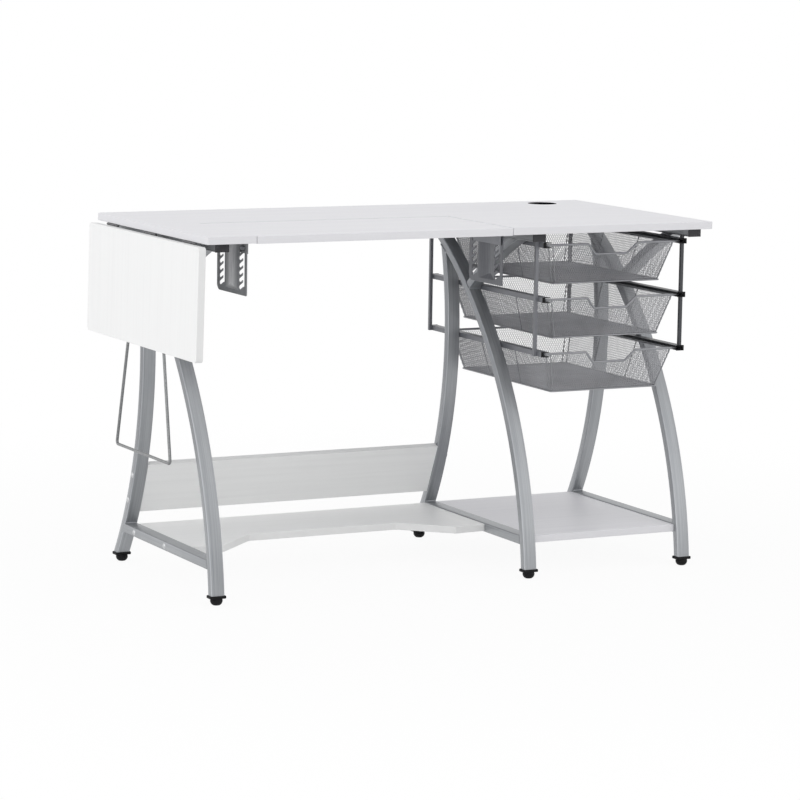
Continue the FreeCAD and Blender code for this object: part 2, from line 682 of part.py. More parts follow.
def make_main_shelf():
    """Shelf between the left and middle frames, its front edge cut back for the feet."""
    fall, ear = EAR
    outline = [
        (BAY_LEFT, MAIN_SHELF_FRONT + fall, SMALL_CORNER),
        (BAY_LEFT + ear, MAIN_SHELF_FRONT, EAR_CORNER),
        (BAY_LEFT + ear + SHELF_SLOPE, MAIN_SHELF_RECESS, RECESS_CORNER),
        (BAY_RIGHT - ear - SHELF_SLOPE, MAIN_SHELF_RECESS, RECESS_CORNER),
        (BAY_RIGHT - ear, MAIN_SHELF_FRONT, EAR_CORNER),
        (BAY_RIGHT, MAIN_SHELF_FRONT + fall, SMALL_CORNER),
        (BAY_RIGHT, MAIN_SHELF_BACK, SMALL_CORNER),
        (BAY_LEFT, MAIN_SHELF_BACK, SMALL_CORNER),
    ]
    return cut_all(board(outline, SHELF_LOW, SHELF_HIGH), frame_holes())


def make_side_shelf():
    """Shelf between the middle and right frames."""
    x = (FRAME_X["middle"] + HALF_TUBE, FRAME_X["right"] - HALF_TUBE)
    outline = rectangle(x, SIDE_SHELF_Y, SMALL_CORNER)
    return cut_all(board(outline, SHELF_LOW, SHELF_HIGH), frame_holes())


def make_modesty_panel():
    half = PANEL_THICK / 2
    height = (-PANEL_HEIGHT / 2, PANEL_HEIGHT / 2)
    panel = board(rectangle((BAY_LEFT, BAY_RIGHT), height, SMALL_CORNER), -half, half)
    panel.rotate(V(0, 0, 0), ALONG_X, 90 + PANEL_TILT)
    panel.translate(V(0, PANEL_MIDDLE[0], PANEL_MIDDLE[1]))
    return cut_all(panel, frame_holes())


# ---- drop leaf ----------------------------------------------------------------------------
def hang(solid):
    """Swing a piece of the leaf out to the angle at which the leaf hangs."""
    solid.rotate(V(HINGE_X, 0, HINGE_Z), ALONG_Y, LEAF_TILT)
    return solid


LEAF_SCREW_DROP = 18.0             # from the leaf's top edge to the screws of the hinges
LEAF_SCREW_LENGTH = 8.0
CLIP_SCREW_SIDE = 13.0
CLIP_HALF_HEIGHT = 18.0
FIXED_KNUCKLE = 18.0               # length of each outer knuckle
MOVING_KNUCKLE_HALF = 11.7         # the middle knuckle runs between them
HINGE_LEAF_X = (HINGE_X + 5.0, HINGE_X + 25.0)
HINGE_LEAF_DROP = (28.0, 3.0)      # the moving plate's ends, from the leaf's top edge


def leaf_screw_places():
    """Screws of the hinge plates and support clips, before the leaf is swung out."""
    x = LEAF_INNER_X + PLATE
    hinge_z = LEAF_TOP_Z - LEAF_SCREW_DROP
    hinge_sides = (-HINGE_SCREW_SIDE, HINGE_SCREW_SIDE)
    clip_heights = (SUPPORT_PIVOT_Z - CLIP_SCREW_SIDE, SUPPORT_PIVOT_Z + CLIP_SCREW_SIDE)
    places = [V(x, y + side, hinge_z) for y in HINGE_PLACES for side in hinge_sides]
    return places + [V(x, y, z) for y in clip_middles() for z in clip_heights]


def leaf_screw_holes():
    return screw_holes(leaf_screw_places(), ALONG_X, LEAF_SCREW_LENGTH)


def make_drop_leaf():
    outline = rectangle((0, LEAF_LENGTH), (0, TOP_DEPTH), LEAF_CORNER)
    leaf = board(outline, 0, LEAF_THICK)
    leaf.rotate(V(0, 0, 0), ALONG_Y, -90)
    leaf.translate(V(LEAF_INNER_X, 0, LEAF_TOP_Z - LEAF_LENGTH))
    return hang(cut_all(leaf, leaf_screw_holes()))


def on_hinge_axis(y_start, y_end, radius):
    return bar(V(HINGE_X, y_start, HINGE_Z), V(HINGE_X, y_end, HINGE_Z), radius)


def make_hinge_fixed_plates():
    """The hinge halves under the top: a plate with two outer knuckles each."""
    plates = []
    half = HINGE_LENGTH / 2
    for y in HINGE_PLACES:
        ends = (y - half, y + half)
        pieces = [box(HINGE_LEAF_X, ends, (PLATE_LOW, UNDERSIDE))]
        for span in ((ends[0], ends[0] + FIXED_KNUCKLE), (ends[1] - FIXED_KNUCKLE, ends[1])):
            pieces.append(box((HINGE_X, HINGE_LEAF_X[0]), span, (PLATE_LOW, HINGE_Z + KNUCKLE_RADIUS)))
            pieces.append(on_hinge_axis(span[0], span[1], KNUCKLE_RADIUS))
        pin_hole = on_hinge_axis(ends[0] - PAST, ends[1] + PAST, HINGE_PIN_RADIUS)
        plates.append(cut_all(fuse(pieces), [pin_hole] + plate_screw_holes()))
    return Part.makeCompound(plates)


def make_hinge_moving_plates():
    """The hinge halves on the leaf: a plate with one middle knuckle each."""
    plates = []
    half = HINGE_LENGTH / 2
    x = (LEAF_INNER_X, LEAF_INNER_X + PLATE)
    low, high = [LEAF_TOP_Z - drop for drop in HINGE_LEAF_DROP]
    for y in HINGE_PLACES:
        span = (y - MOVING_KNUCKLE_HALF, y + MOVING_KNUCKLE_HALF)
        plate = box(x, (y - half, y + half), (low, high))
        neck = box(x, span, (high - PAST, HINGE_Z))
        solid = fuse([plate, neck, on_hinge_axis(span[0], span[1], KNUCKLE_RADIUS)])
        bore = on_hinge_axis(y - half, y + half, HINGE_PIN_RADIUS + RUNNING_GAP)
        plates.append(hang(cut_all(solid, [bore] + leaf_screw_holes())))
    return Part.makeCompound(plates)


def make_hinge_pins():
    half = HINGE_LENGTH / 2
    pins = [on_hinge_axis(y - half, y + half, HINGE_PIN_RADIUS) for y in HINGE_PLACES]
    return Part.makeCompound(pins)


SUPPORT_END = 24.0                 # straight end of the rod, turned inwards through its clip
CLIP_FROM_CORNER = 13.0


def clip_middles():
    reach = SUPPORT_PIVOT_HALF - CLIP_FROM_CORNER
    return (SUPPORT_MIDDLE_Y - reach, SUPPORT_MIDDLE_Y + reach)


def make_leaf_support():
    """The bent rod that props the leaf: two splayed legs, a long bar and two pivot ends."""
    middle = SUPPORT_MIDDLE_Y
    inner = SUPPORT_PIVOT_HALF - SUPPORT_END
    halves = []
    for side in (-1, 1):
        points = [
            V(SUPPORT_X, middle + side * inner, SUPPORT_PIVOT_Z),
            V(SUPPORT_X, middle + side * SUPPORT_PIVOT_HALF, SUPPORT_PIVOT_Z),
            V(SUPPORT_X, middle + side * SUPPORT_BAR_HALF, SUPPORT_BAR_Z),
            V(SUPPORT_X, middle, SUPPORT_BAR_Z),
        ]
        halves.append(bent_rod(points, SUPPORT_ROD, SUPPORT_BEND))
    return hang(fuse(halves))


def make_support_clips():
    """Two blocks screwed to the leaf in which the ends of the support turn."""
    clips = []
    low = LEAF_INNER_X
    base_z = (SUPPORT_PIVOT_Z - CLIP_HALF_HEIGHT, SUPPORT_PIVOT_Z + CLIP_HALF_HEIGHT)
    block_z = (SUPPORT_PIVOT_Z - CLIP_RADIUS, SUPPORT_PIVOT_Z + CLIP_RADIUS)
    for middle in clip_middles():
        y = (middle - CLIP_WIDTH / 2, middle + CLIP_WIDTH / 2)
        base = box((low, low + PLATE), y, base_z)
        block = box((low, SUPPORT_X), y, block_z)
        start = V(SUPPORT_X, y[0], SUPPORT_PIVOT_Z)
        dome = Part.makeCylinder(CLIP_RADIUS, CLIP_WIDTH, start, ALONG_Y)
        bore = Part.makeCylinder(SUPPORT_ROD + RUNNING_GAP, CLIP_WIDTH, start, ALONG_Y)
        clips.append(hang(cut_all(fuse([base, block, dome]), [bore] + leaf_screw_holes())))
    return Part.makeCompound(clips)


# ---- drawer frame and baskets -------------------------------------------------------------
DRAWER_SIDES = ((DRAWER_LEFT, 1), (DRAWER_RIGHT, -1))   # (outer face, direction inwards)
RUNNER_HALF = RUNNER_HEIGHT / 2
RUNNER_SLOT_HALF = RUNNER_HALF - RUNNER_WALL
RUNNER_CAP = 3.0                   # thickness of the caps on the runner ends
RUNNER_CAP_EDGE = 0.5              # how far the caps stand out round a runner
RUNNER_CAP_WALL = 4.5


def make_runner(side, z_mid):
    """A channel that opens inwards, towards the basket."""
    outer_x, inward = side
    x = sorted((outer_x, outer_x + inward * RUNNER_WIDTH))
    hollow_x = sorted((outer_x + inward * RUNNER_WALL, outer_x + inward * (RUNNER_WIDTH + PAST)))
    outer = box(x, (RUNNER_FRONT, RUNNER_BACK), (z_mid - RUNNER_HALF, z_mid + RUNNER_HALF))
    hollow_y = (RUNNER_FRONT - PAST, RUNNER_BACK + PAST)
    hollow_z = (z_mid - RUNNER_SLOT_HALF, z_mid + RUNNER_SLOT_HALF)
    return outer.cut(box(hollow_x, hollow_y, hollow_z))


def make_runner_end_caps():
    """Plastic caps on both ends of each runner, open where the rim of the basket passes."""
    caps = []
    half = RUNNER_HALF + RUNNER_CAP_EDGE
    for outer_x, inward in DRAWER_SIDES:
        inner_x = outer_x + inward * (RUNNER_WIDTH + RUNNER_CAP_EDGE)
        cover_x = sorted((outer_x, inner_x))
        slit_x = sorted((outer_x + inward * RUNNER_CAP_WALL, inner_x + inward * PAST))
        for z_mid in RUNNER_Z.values():
            slit_z = (z_mid - RUNNER_SLOT_HALF, z_mid + RUNNER_SLOT_HALF)
            for y in (RUNNER_FRONT - RUNNER_CAP, RUNNER_BACK):
                cover = box(cover_x, (y, y + RUNNER_CAP), (z_mid - half, z_mid + half))
                slit = box(slit_x, (y - PAST, y + RUNNER_CAP + PAST), slit_z)
                caps.append(cover.cut(slit))
    return Part.makeCompound(caps)


def make_posts(side):
    """Front and back uprights that hang the runners of one side from the top rail."""
    outer_x, inward = side
    x = sorted((outer_x, outer_x - inward * POST))
    z = (min(RUNNER_Z.values()) - RUNNER_HALF, RAIL_LOW)
    return Part.makeCompound([box(x, (y, y + POST), z) for y in (POST_FRONT, POST_BACK)])


def basket_sides(z, z_rim, inset=0.0):
    """((left, right), (front, back)) of a basket's walls at a height."""
    down = (z_rim - z) / BASKET_DEPTH
    x = (BASKET_LEFT + BASKET_FLANGE + BASKET_SIDE_TAPER * down + inset,
         BASKET_RIGHT - BASKET_FLANGE - BASKET_SIDE_TAPER * down - inset)
    y = (BASKET_FRONT + BASKET_FRONT_TAPER * down + inset,
         BASKET_BACK - BASKET_BACK_TAPER * down - inset)
    return x, y


def basket_ring(z, z_rim, inset=0.0):
    x, y = basket_sides(z, z_rim, inset)
    wire = rounded_outline(rectangle(x, y, BASKET_CORNER))
    wire.translate(V(0, 0, z))
    return wire


def basket_block(z_rim, inset, lift):
    """A tapering block with rounded corners, from lift above the floor to the rim."""
    low = basket_ring(z_rim - BASKET_DEPTH + lift, z_rim, inset)
    high = basket_ring(z_rim + lift, z_rim, inset)
    return Part.makeLoft([low, high], True, True)


def dip_outline(z_rim):
    """(x, z) corners of the finger dip, from left to right."""
    middle = (BASKET_LEFT + BASKET_RIGHT) / 2
    low = z_rim - DIP_DEPTH
    return [(middle - DIP_TOP / 2, z_rim), (middle - DIP_BOTTOM / 2, low),
            (middle + DIP_BOTTOM / 2, low), (middle + DIP_TOP / 2, z_rim)]


def dip_block(z_rim):
    """The wedge that the finger dip takes out of the front wall."""
    outline = dip_outline(z_rim)
    front = BASKET_FRONT - 10
    depth = 70.0
    above = z_rim + 5
    corners = [V(x, front, z) for x, z in outline]
    corners += [V(outline[-1][0], front, above), V(outline[0][0], front, above)]
    return Part.Face(Part.makePolygon(corners + [corners[0]])).extrude(ALONG_Y * depth)


def rim_rods(z_rim):
    """The rim: a front run with the finger dip and a plain back run, both ending in the runners."""
    middle_y = (BASKET_FRONT + BASKET_BACK) / 2
    lean = DIP_DEPTH * BASKET_FRONT_TAPER / BASKET_DEPTH
    dip = [V(x, BASKET_FRONT + (lean if z < z_rim else 0), z) for x, z in dip_outline(z_rim)]
    left, right = [[V(x, y, z_rim) for y in (BASKET_FRONT, middle_y, BASKET_BACK)]
                   for x in (BASKET_LEFT, BASKET_RIGHT)]
    front_run = [left[1], left[0]] + dip + [right[0], right[1]]
    back_run = [right[1], right[2], left[2], left[1]]
    return [bent_rod(run, BASKET_ROD, RIM_BEND) for run in (front_run, back_run)]


SIDE_RIBS = (0.02, 0.33, 0.67, 0.97)   # places along a side wall, as parts of its length
END_RIBS = (0.018, 0.982)              # along the front and back walls
FLOOR_ROD_OUT = 1.2                # from the walls' foot to the middle of the floor rod
FLOOR_ROD_DROP = 0.6
FLANGE_HALF = 0.75                 # half the thickness of the strips in the runners


def rib_rods(z_rim):
    """Thin upright wires on the outside of the walls."""
    floor = z_rim - BASKET_DEPTH
    (left, right), (front, back) = basket_sides(z_rim, z_rim, -BASKET_RIB_PROUD)
    (low_left, low_right), (low_front, low_back) = basket_sides(floor, z_rim, -BASKET_RIB_PROUD)
    lines = []
    for t in SIDE_RIBS:
        y_high = front + t * (back - front)
        y_low = low_front + t * (low_back - low_front)
        lines.append((V(left, y_high, z_rim), V(low_left, y_low, floor)))
        lines.append((V(right, y_high, z_rim), V(low_right, y_low, floor)))
    for t in END_RIBS:
        x_high = left + t * (right - left)
        x_low = low_left + t * (low_right - low_left)
        lines.append((V(x_high, front, z_rim), V(x_low, low_front, floor)))
        lines.append((V(x_high, back, z_rim), V(x_low, low_back, floor)))
    return [bar(high, low, BASKET_RIB) for high, low in lines]


def floor_rod(z_rim):
    """The rod round the outside of the floor's edge."""
    base = basket_ring(z_rim - BASKET_DEPTH - FLOOR_ROD_DROP, z_rim, -FLOOR_ROD_OUT)
    edge = base.Edges[1]
    start = edge.Vertexes[0].Point
    section = Part.makeCircle(BASKET_FLOOR_ROD, start, edge.tangentAt(edge.FirstParameter))
    return base.makePipeShell([Part.Wire(section)], True, False)


def flange_strips(z_rim):
    """Flat strips between the walls and the rim rods that run in the runners."""
    wall_left, wall_right = basket_sides(z_rim, z_rim)[0]
    z = (z_rim - FLANGE_HALF, z_rim + FLANGE_HALF)
    y = (BASKET_FRONT, BASKET_BACK)
    return [box((BASKET_LEFT, wall_left), y, z), box((wall_right, BASKET_RIGHT), y, z)]


def make_basket(z_runner):
    """(mesh body, rod frame) of one basket."""
    z_rim = z_runner - BASKET_RIM_DROP
    frame = fuse(rim_rods(z_rim) + rib_rods(z_rim) + [floor_rod(z_rim)] + flange_strips(z_rim))
    body = basket_block(z_rim, 0, 0).cut(basket_block(z_rim, BASKET_SKIN, BASKET_SKIN))
    body = cut_all(body, [dip_block(z_rim), frame])
    return max(body.Solids, key=lambda solid: solid.Volume), frame


def make_drawers():
    left, right = DRAWER_SIDES
    nodes = {
        "left_drawer_posts": make_posts(left),
        "right_drawer_posts": make_posts(right),
        "runner_end_caps": make_runner_end_caps(),
    }
    for level, z_mid in RUNNER_Z.items():
        body, frame = make_basket(z_mid)
        nodes[level + "_basket_mesh"] = body
        nodes[level + "_basket_frame"] = frame
        nodes[level + "_left_runner"] = make_runner(left, z_mid)
        nodes[level + "_right_runner"] = make_runner(right, z_mid)
    return nodes


# ---- fasteners ----------------------------------------------------------------------------
def make_fasteners():
    shelf = [bolt(at, out, SHELF_BOLT_LENGTH) for at, out in shelf_bolts()]
    underside = flange_screw_places() + hinge_screw_places()
    leaf = screws(leaf_screw_places(), ALONG_X, LEAF_SCREW_LENGTH)
    groups = {
        "panel_bolts": [bolt(at, out, PANEL_BOLT_LENGTH) for at, out in panel_bolts()],
        "shelf_bolts": shelf + shelf_studs(),
        "rail_screws": [bolt(at, DOWN, RAIL_SCREW_LENGTH) for at in rail_screw_places()],
        "underside_screws": screws(underside, DOWN, SCREW_LENGTH),
        "platform_screws": screws(hanger_screw_places(), DOWN, HANGER_SCREW_LENGTH),
        "leaf_screws": [hang(piece) for piece in leaf],
    }
    return {name: Part.makeCompound(pieces) for name, pieces in groups.items()}


# ---- the whole table ----------------------------------------------------------------------
def build():
    nodes = {
        "table_top": make_table_top(),
        "grommet_ring": make_grommet_ring(),
        "grommet_cap": make_grommet_cap(),
        "platform_board": make_platform_board(),
        "platform_hangers": make_platform_hangers(),
        "left_notched_plate": make_notch_plate(CUTOUT_LEFT, -1),
        "right_notched_plate": make_notch_plate(CUTOUT_RIGHT, 1),
        "rail_end_caps": make_rail_end_caps(),
        "foot_caps": make_foot_caps(),
        "main_shelf": make_main_shelf(),
        "side_shelf": make_side_shelf(),
        "modesty_panel": make_modesty_panel(),
        "drop_leaf": make_drop_leaf(),
        "hinge_fixed_plates": make_hinge_fixed_plates(),
        "hinge_moving_plates": make_hinge_moving_plates(),
        "hinge_pins": make_hinge_pins(),
        "leaf_support": make_leaf_support(),
        "support_clips": make_support_clips(),
    }
    nodes.update(make_frames())
    nodes.update(make_glides())
    nodes.update(make_drawers())
    nodes.update(make_fasteners())
    return nodes


def main():
    os.makedirs("parts", exist_ok=True)
    nodes = build()
    middle_x = (nodes["drop_leaf"].BoundBox.XMin + TOP_WIDTH) / 2
    to_origin = V(-middle_x, -TOP_DEPTH / 2, 0)
    for name, shape in nodes.items():
        shape.translate(to_origin)
        shape.exportStep(os.path.join("parts", name + ".step"))
        print("%-24s %3d solids, valid %s" % (name, len(shape.Solids), shape.isValid()))
    print("nodes", len(nodes), "origin at shop x %.3f" % middle_x)


main()
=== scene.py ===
"""Looks of the folding sewing and cutting table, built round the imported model.

Metres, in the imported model's frame: x to the right along the front, y to the back, z up from
the floor.  The origin is on the floor under the middle of the whole table.
"""
import math

import bpy
from mathutils import Matrix, Vector


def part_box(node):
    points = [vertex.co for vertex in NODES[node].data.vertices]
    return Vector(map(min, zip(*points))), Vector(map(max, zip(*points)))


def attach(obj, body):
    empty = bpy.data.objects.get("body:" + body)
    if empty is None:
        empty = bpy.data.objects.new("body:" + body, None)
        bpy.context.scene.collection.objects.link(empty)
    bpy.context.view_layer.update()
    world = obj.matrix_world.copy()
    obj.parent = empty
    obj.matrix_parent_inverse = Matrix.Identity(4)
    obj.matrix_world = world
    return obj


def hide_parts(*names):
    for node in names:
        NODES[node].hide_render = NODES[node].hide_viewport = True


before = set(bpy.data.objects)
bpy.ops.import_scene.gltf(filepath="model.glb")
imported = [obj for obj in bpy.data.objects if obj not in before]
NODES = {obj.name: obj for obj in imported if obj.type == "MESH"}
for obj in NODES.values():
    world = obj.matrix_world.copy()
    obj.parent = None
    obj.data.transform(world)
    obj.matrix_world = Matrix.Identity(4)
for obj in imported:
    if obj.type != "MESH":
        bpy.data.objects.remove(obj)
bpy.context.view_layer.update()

# ---- driving dimensions -------------------------------------------------------------------
TUBE_WIDTH = 0.030
TUBE_CORNER = 0.0022
LEG_HALF = 0.009
FRONT_LEG_BEND = ((0.650, -0.064), 0.916)     # ((y, z) of the middle, radius)
BRACE_BEND = ((-0.554, -0.109), 0.916)
BACK_LEG_BEND = ((0.943, 0.491), 0.832)
FOOT_TOP = 0.020
BAR_HEIGHT = 0.020                            # of the stretchers
FLAT_REACH = 0.003                            # from a notched plate's back to where its flat ends
RIB_REACH = 0.008                             # and to its rib's crest
LEVELS = ("top", "middle", "bottom")
SIDES = ("left", "middle", "right")

BASKET_CORNER = 0.005
SIDE_TAPER = 0.024                            # how far a wall leans in from rim to floor
FRONT_TAPER = 0.026
BACK_TAPER = 0.023
WALL_HEIGHT = 0.085
FLANGE = 0.013                                # from the middle of the rim rod to the side walls
RIM_RADIUS = 0.0025
RIM_BEND = 0.007
RIB_RADIUS = 0.0012
RIB_PROUD = 0.0008                            # of the wall, to the rib's middle
FLOOR_ROD_RADIUS = 0.0018
FLOOR_ROD_OUT = 0.0012                        # of the wall, to the rod's middle
FLOOR_ROD_DROP = 0.0006                       # below the floor's mesh
STRIP_HALF = 0.00075                          # half the thickness of the strips in the runners
SIDE_RIBS = (0.02, 0.33, 0.67, 0.97)          # places along a wall, as shares of its length
END_RIBS = (0.018, 0.982)
DIP_TOP = 0.123                               # widths of the finger dip
DIP_BOTTOM = 0.080
DIP_DEPTH = 0.023
MESH_CELL = (0.0052, 0.0098)                  # width and height of one diamond
MESH_WIRE = 0.00052                           # radius
MESH_LEAN = MESH_CELL[0] / MESH_CELL[1]
DIP_HALVINGS = 10
WELD_RADIUS = 0.0022                          # of the beads where stretchers meet legs
WELD_RIPPLES = 24
WELD_SIDES = 12
WELD_TROUGH = 0.86                            # a bead's size between two ripples
SEAM_RADIUS = 0.0018                          # of the seams where braces and back legs end

EDGE_BAND = 0.90                              # tone of a board's edge band against its face
CORNER_LIGHT_FADE = 0.0014                          # how far the painted line along a tube's corner fades to either side
LEG_CORNER_HIGHLIGHT = (1.55, 1.55, 1.55)               # its tone against the faces, a painted highlight along a leg's corners
# Tone of a bar's corners against its faces, a painted shade line.
BAR_CORNER_SHADE = (0.55, 0.55, 0.56)
PLAIN = (1.0, 1.0, 1.0)
SIDE_SHADE_HEIGHTS = (0.12, 0.45)                   # where painted shade grows on a leg's narrow faces, going up
SIDE_SHADE_HIGH = (0.72, 0.72, 0.73)                # the tone of that painted shade above it

# Strength of the light all round, seen as 1 by the camera and in reflections.
WORLD_LIGHT = 0.68
# Name, place, the point it looks at, width and watts of each lamp.
SOFTBOXES = (
    ("left_softbox", (-3.8, -0.3, 1.5), (0, 0, 0.4), 2.8, 28),
    ("back_left_softbox", (-2.9, 3.2, 0.9), (0, 0, 0.3), 2.4, 8),
    ("top_softbox", (0.3, -1.2, 4.0), (0, 0, 0.5), 3.0, 15),
    ("front_softbox", (-1.8, -4.8, 1.5), (0, 0, 0.3), 3.0, 24),
    ("front_right_softbox", (2.6, -3.6, 1.8), (0, 0, 0.5), 2.0, 14),
)
FLOOR_REACH = 60.0
FLOOR_TONE = (0.90, 0.90, 0.90)
FLOOR_ROUGHNESS = 0.9
FLOOR_BRIGHT = 0.93                           # share of plain white in the floor under the table
SHADOW_NEAR = 0.7                             # from here on that share grows,
SHADOW_FAR = 2.2                              # and from here on it is 1

CAMERA_AT = Vector((-3.17686, -6.24680, 1.37190))
CAMERA_YAW = 0.47112686
CAMERA_DOWN = 0.14292677
CAMERA_ROLL = 0.01545911
CAMERA_LENS = 145.30                          # millimetres, as is the sensor
CAMERA_SENSOR = 36.0
CAMERA_CLIP = (0.1, 200)


# ---- mesh helpers -------------------------------------------------------------------------
class Builder:
    """Collects vertices and faces of one piece, with the distances along and round its rods."""

    def __init__(self):
        self.points = []
        self.faces = []
        self.distances = []
        self.smooth = []

    def add(self, points, faces, distances, smooth):
        """More faces, whose numbers count from the first of these points."""
        start = len(self.points)
        self.points.extend(points)
        self.faces.extend([tuple(start + i for i in face) for face in faces])
        self.distances.extend(distances)
        self.smooth.extend([smooth] * len(faces))

    def rows(self, rows, closed_rows=False, caps=True, smooth=True):
        """Skin between rings of points; closed_rows joins the last ring to the first."""
        size = len(rows[0])
        count = len(rows)
        faces = []
        distances = []
        around = [0.0]
        for j in range(size):
            around.append(around[-1] + (rows[0][(j + 1) % size] - rows[0][j]).length)
        along_step = sum((rows[i][0] - rows[i - 1][0]).length for i in range(1, count)) / (count - 1)
        for i in range(count if closed_rows else count - 1):
            here, there = i * size, (i + 1) % count * size
            for j in range(size):
                k = (j + 1) % size
                faces.append((here + j, here + k, there + k, there + j))
                near, far = i * along_step, (i + 1) * along_step
                left, right = around[j], around[j + 1]
                distances.append(((left, near), (right, near), (right, far), (left, far)))
        if caps and not closed_rows:
            faces.append(tuple(reversed(range(size))))
            faces.append(tuple(range((count - 1) * size, count * size)))
            distances += [((0, 0),) * size] * 2
        self.add([point for row in rows for point in row], faces, distances, smooth)

    def tube(self, path, radius, sides=10, closed=False):
        """A round rod along a path of points."""
        count = len(path)
        rows = []
        across = None
        for i, here in enumerate(path):
            before = path[i - 1] if (i or closed) else here
            after = path[(i + 1) % count] if (i < count - 1 or closed) else here
            along = (after - before).normalized()
            if across is None:
                across = along.orthogonal().normalized()
            across = (across - along * across.dot(along)).normalized()
            up = along.cross(across)
            ring = []
            for k in range(sides):
                angle = 2 * math.pi * k / sides
                ring.append(here + (across * math.cos(angle) + up * math.sin(angle)) * radius)
            rows.append(ring)
        self.rows(rows, closed)

    def make(self, name, body, material, sharp=40.0):
        """The object, riding on a body; edges that turn by more than sharp degrees stay hard."""
        mesh = bpy.data.meshes.new(name)
        mesh.from_pydata([tuple(p) for p in self.points], [], self.faces)
        mesh.polygons.foreach_set("use_smooth", self.smooth)
        layer = mesh.uv_layers.new(name="distances")
        flat = [value for face in self.distances for corner in face for value in corner]
        layer.data.foreach_set("uv", flat)
        mesh.set_sharp_from_angle(angle=math.radians(sharp))
        mesh.update()
        piece = bpy.data.objects.new(name, mesh)
        bpy.context.scene.collection.objects.link(piece)
        piece.data.materials.append(material)
        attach(piece, body)
        return piece


def rounded_path(points, bend, steps=6, closed=False):
    """Points along straight runs with an arc of radius bend at each corner."""
    count = len(points)
    path = []
    for i, here in enumerate(points):
        if not closed and i in (0, count - 1):
            path.append(here)
            continue
        before = (points[i - 1] - here).normalized()
        after = (points[(i + 1) % count] - here).normalized()
        half = before.angle(after) / 2
        middle = here + (before + after).normalized() * (bend / math.sin(half))
        start = here + before * (bend / math.tan(half)) - middle
        end = here + after * (bend / math.tan(half)) - middle
        turn = start.angle(end)
        for k in range(steps + 1):
            t = k / steps
            spoke = (start * math.sin((1 - t) * turn) + end * math.sin(t * turn)) / math.sin(turn)
            path.append(middle + spoke)
    return path


def rounded_rectangle(half_width, half_height, radius, steps=4):
    """(across, up) points of a rounded rectangle, anticlockwise."""
    outline = []
    for quarter, (sx, sy) in enumerate(((1, 1), (-1, 1), (-1, -1), (1, -1))):
        for k in range(steps + 1):
            angle = math.pi / 2 * (quarter + k / steps)
            outline.append((sx * (half_width - radius) + radius * math.cos(angle),
                            sy * (half_height - radius) + radius * math.sin(angle)))
    return outline


def middle_x(node):
    low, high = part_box(node)
    return (low.x + high.x) / 2


# ---- materials ----------------------------------------------------------------------------
class Shader:
    """A small wrapper that adds nodes to one material."""

    def __init__(self, name):
        self.material = bpy.data.materials.new(name)
        self.material.use_nodes = True
        self.nodes = self.material.node_tree.nodes
        self.links = self.material.node_tree.links
        self.surface = self.nodes["Principled BSDF"]
        coordinates = self.nodes.new("ShaderNodeTexCoord").outputs
        self.place = coordinates["Object"]
        self.distances = coordinates["UV"]
        self.facing = coordinates["Normal"]

    def link(self, out, into):
        self.links.new(out, into)

    def stretched(self, scale, place):
        node = self.nodes.new("ShaderNodeMapping")
        node.inputs["Scale"].default_value = scale
        self.link(place or self.place, node.inputs["Vector"])
        return node.outputs["Vector"]

    def part(self, vector, axis):
        """One of X, Y and Z of a vector."""
        node = self.nodes.new("ShaderNodeSeparateXYZ")
        self.link(vector, node.inputs["Vector"])
        return node.outputs[axis]

    def noise(self, scale, detail=3.0, stretch=(1, 1, 1), rough=0.5, place=None):
        node = self.nodes.new("ShaderNodeTexNoise")
        node.inputs["Scale"].default_value = scale
        node.inputs["Detail"].default_value = detail
        node.inputs["Roughness"].default_value = rough
        self.link(self.stretched(stretch, place), node.inputs["Vector"])
        return node.outputs["Fac"]

    def ramp(self, value, stops):
        """Colours at places from 0 to 1, blended between them."""
        node = self.nodes.new("ShaderNodeValToRGB")
        elements = node.color_ramp.elements
        while len(elements) < len(stops):
            elements.new(0.5)
        for element, (place, colour) in zip(elements, stops):
            element.position = place
            element.color = (*colour, 1)
        self.link(value, node.inputs["Fac"])
        return node.outputs["Color"]

    def two_tone(self, value, dark, light, edge=0.35):
        """Dark where the value is below edge, light where it is above 1 - edge."""
        return self.ramp(value, ((edge, dark), (1 - edge, light)))

    def blended(self, way, amount, first, second):
        """Two colours blended; each of them and the amount is a constant or a node's output."""
        node = self.nodes.new("ShaderNodeMix")
        node.data_type = "RGBA"
        node.blend_type = way
        colours = [socket for socket in node.inputs if socket.type == "RGBA"]
        for target, value in zip((node.inputs["Factor"], *colours), (amount, first, second)):
            if isinstance(value, bpy.types.NodeSocket):
                self.link(value, target)
            elif isinstance(value, tuple):
                target.default_value = (*value, 1)
            else:
                target.default_value = value
        return [socket for socket in node.outputs if socket.type == "RGBA"][0]

    def mix(self, amount, first, second):
        return self.blended("MIX", amount, first, second)

    def times(self, first, second):
        return self.blended("MULTIPLY", 1.0, first, second)

    def math(self, operation, value):
        node = self.nodes.new("ShaderNodeMath")
        node.operation = operation
        self.link(value, node.inputs[0])
        return node.outputs[0]

    def spread(self, value, low, high, start=0.0, end=1.0):
        """The value, from start to end, mapped to low to high."""
        node = self.nodes.new("ShaderNodeMapRange")
        node.inputs["From Min"].default_value = start
        node.inputs["From Max"].default_value = end
        node.inputs["To Min"].default_value = low
        node.inputs["To Max"].default_value = high
        self.link(value, node.inputs["Value"])
        return node.outputs["Result"]

    def bump(self, height, strength, distance):
        node = self.nodes.new("ShaderNodeBump")
        node.inputs["Strength"].default_value = strength
        node.inputs["Distance"].default_value = distance
        self.link(height, node.inputs["Height"])
        self.link(node.outputs["Normal"], self.surface.inputs["Normal"])

    def set(self, **values):
        """Constants of the surface, with _ for the spaces in a socket's name."""
        for name, value in values.items():
            self.surface.inputs[name.replace("_", " ")].default_value = value


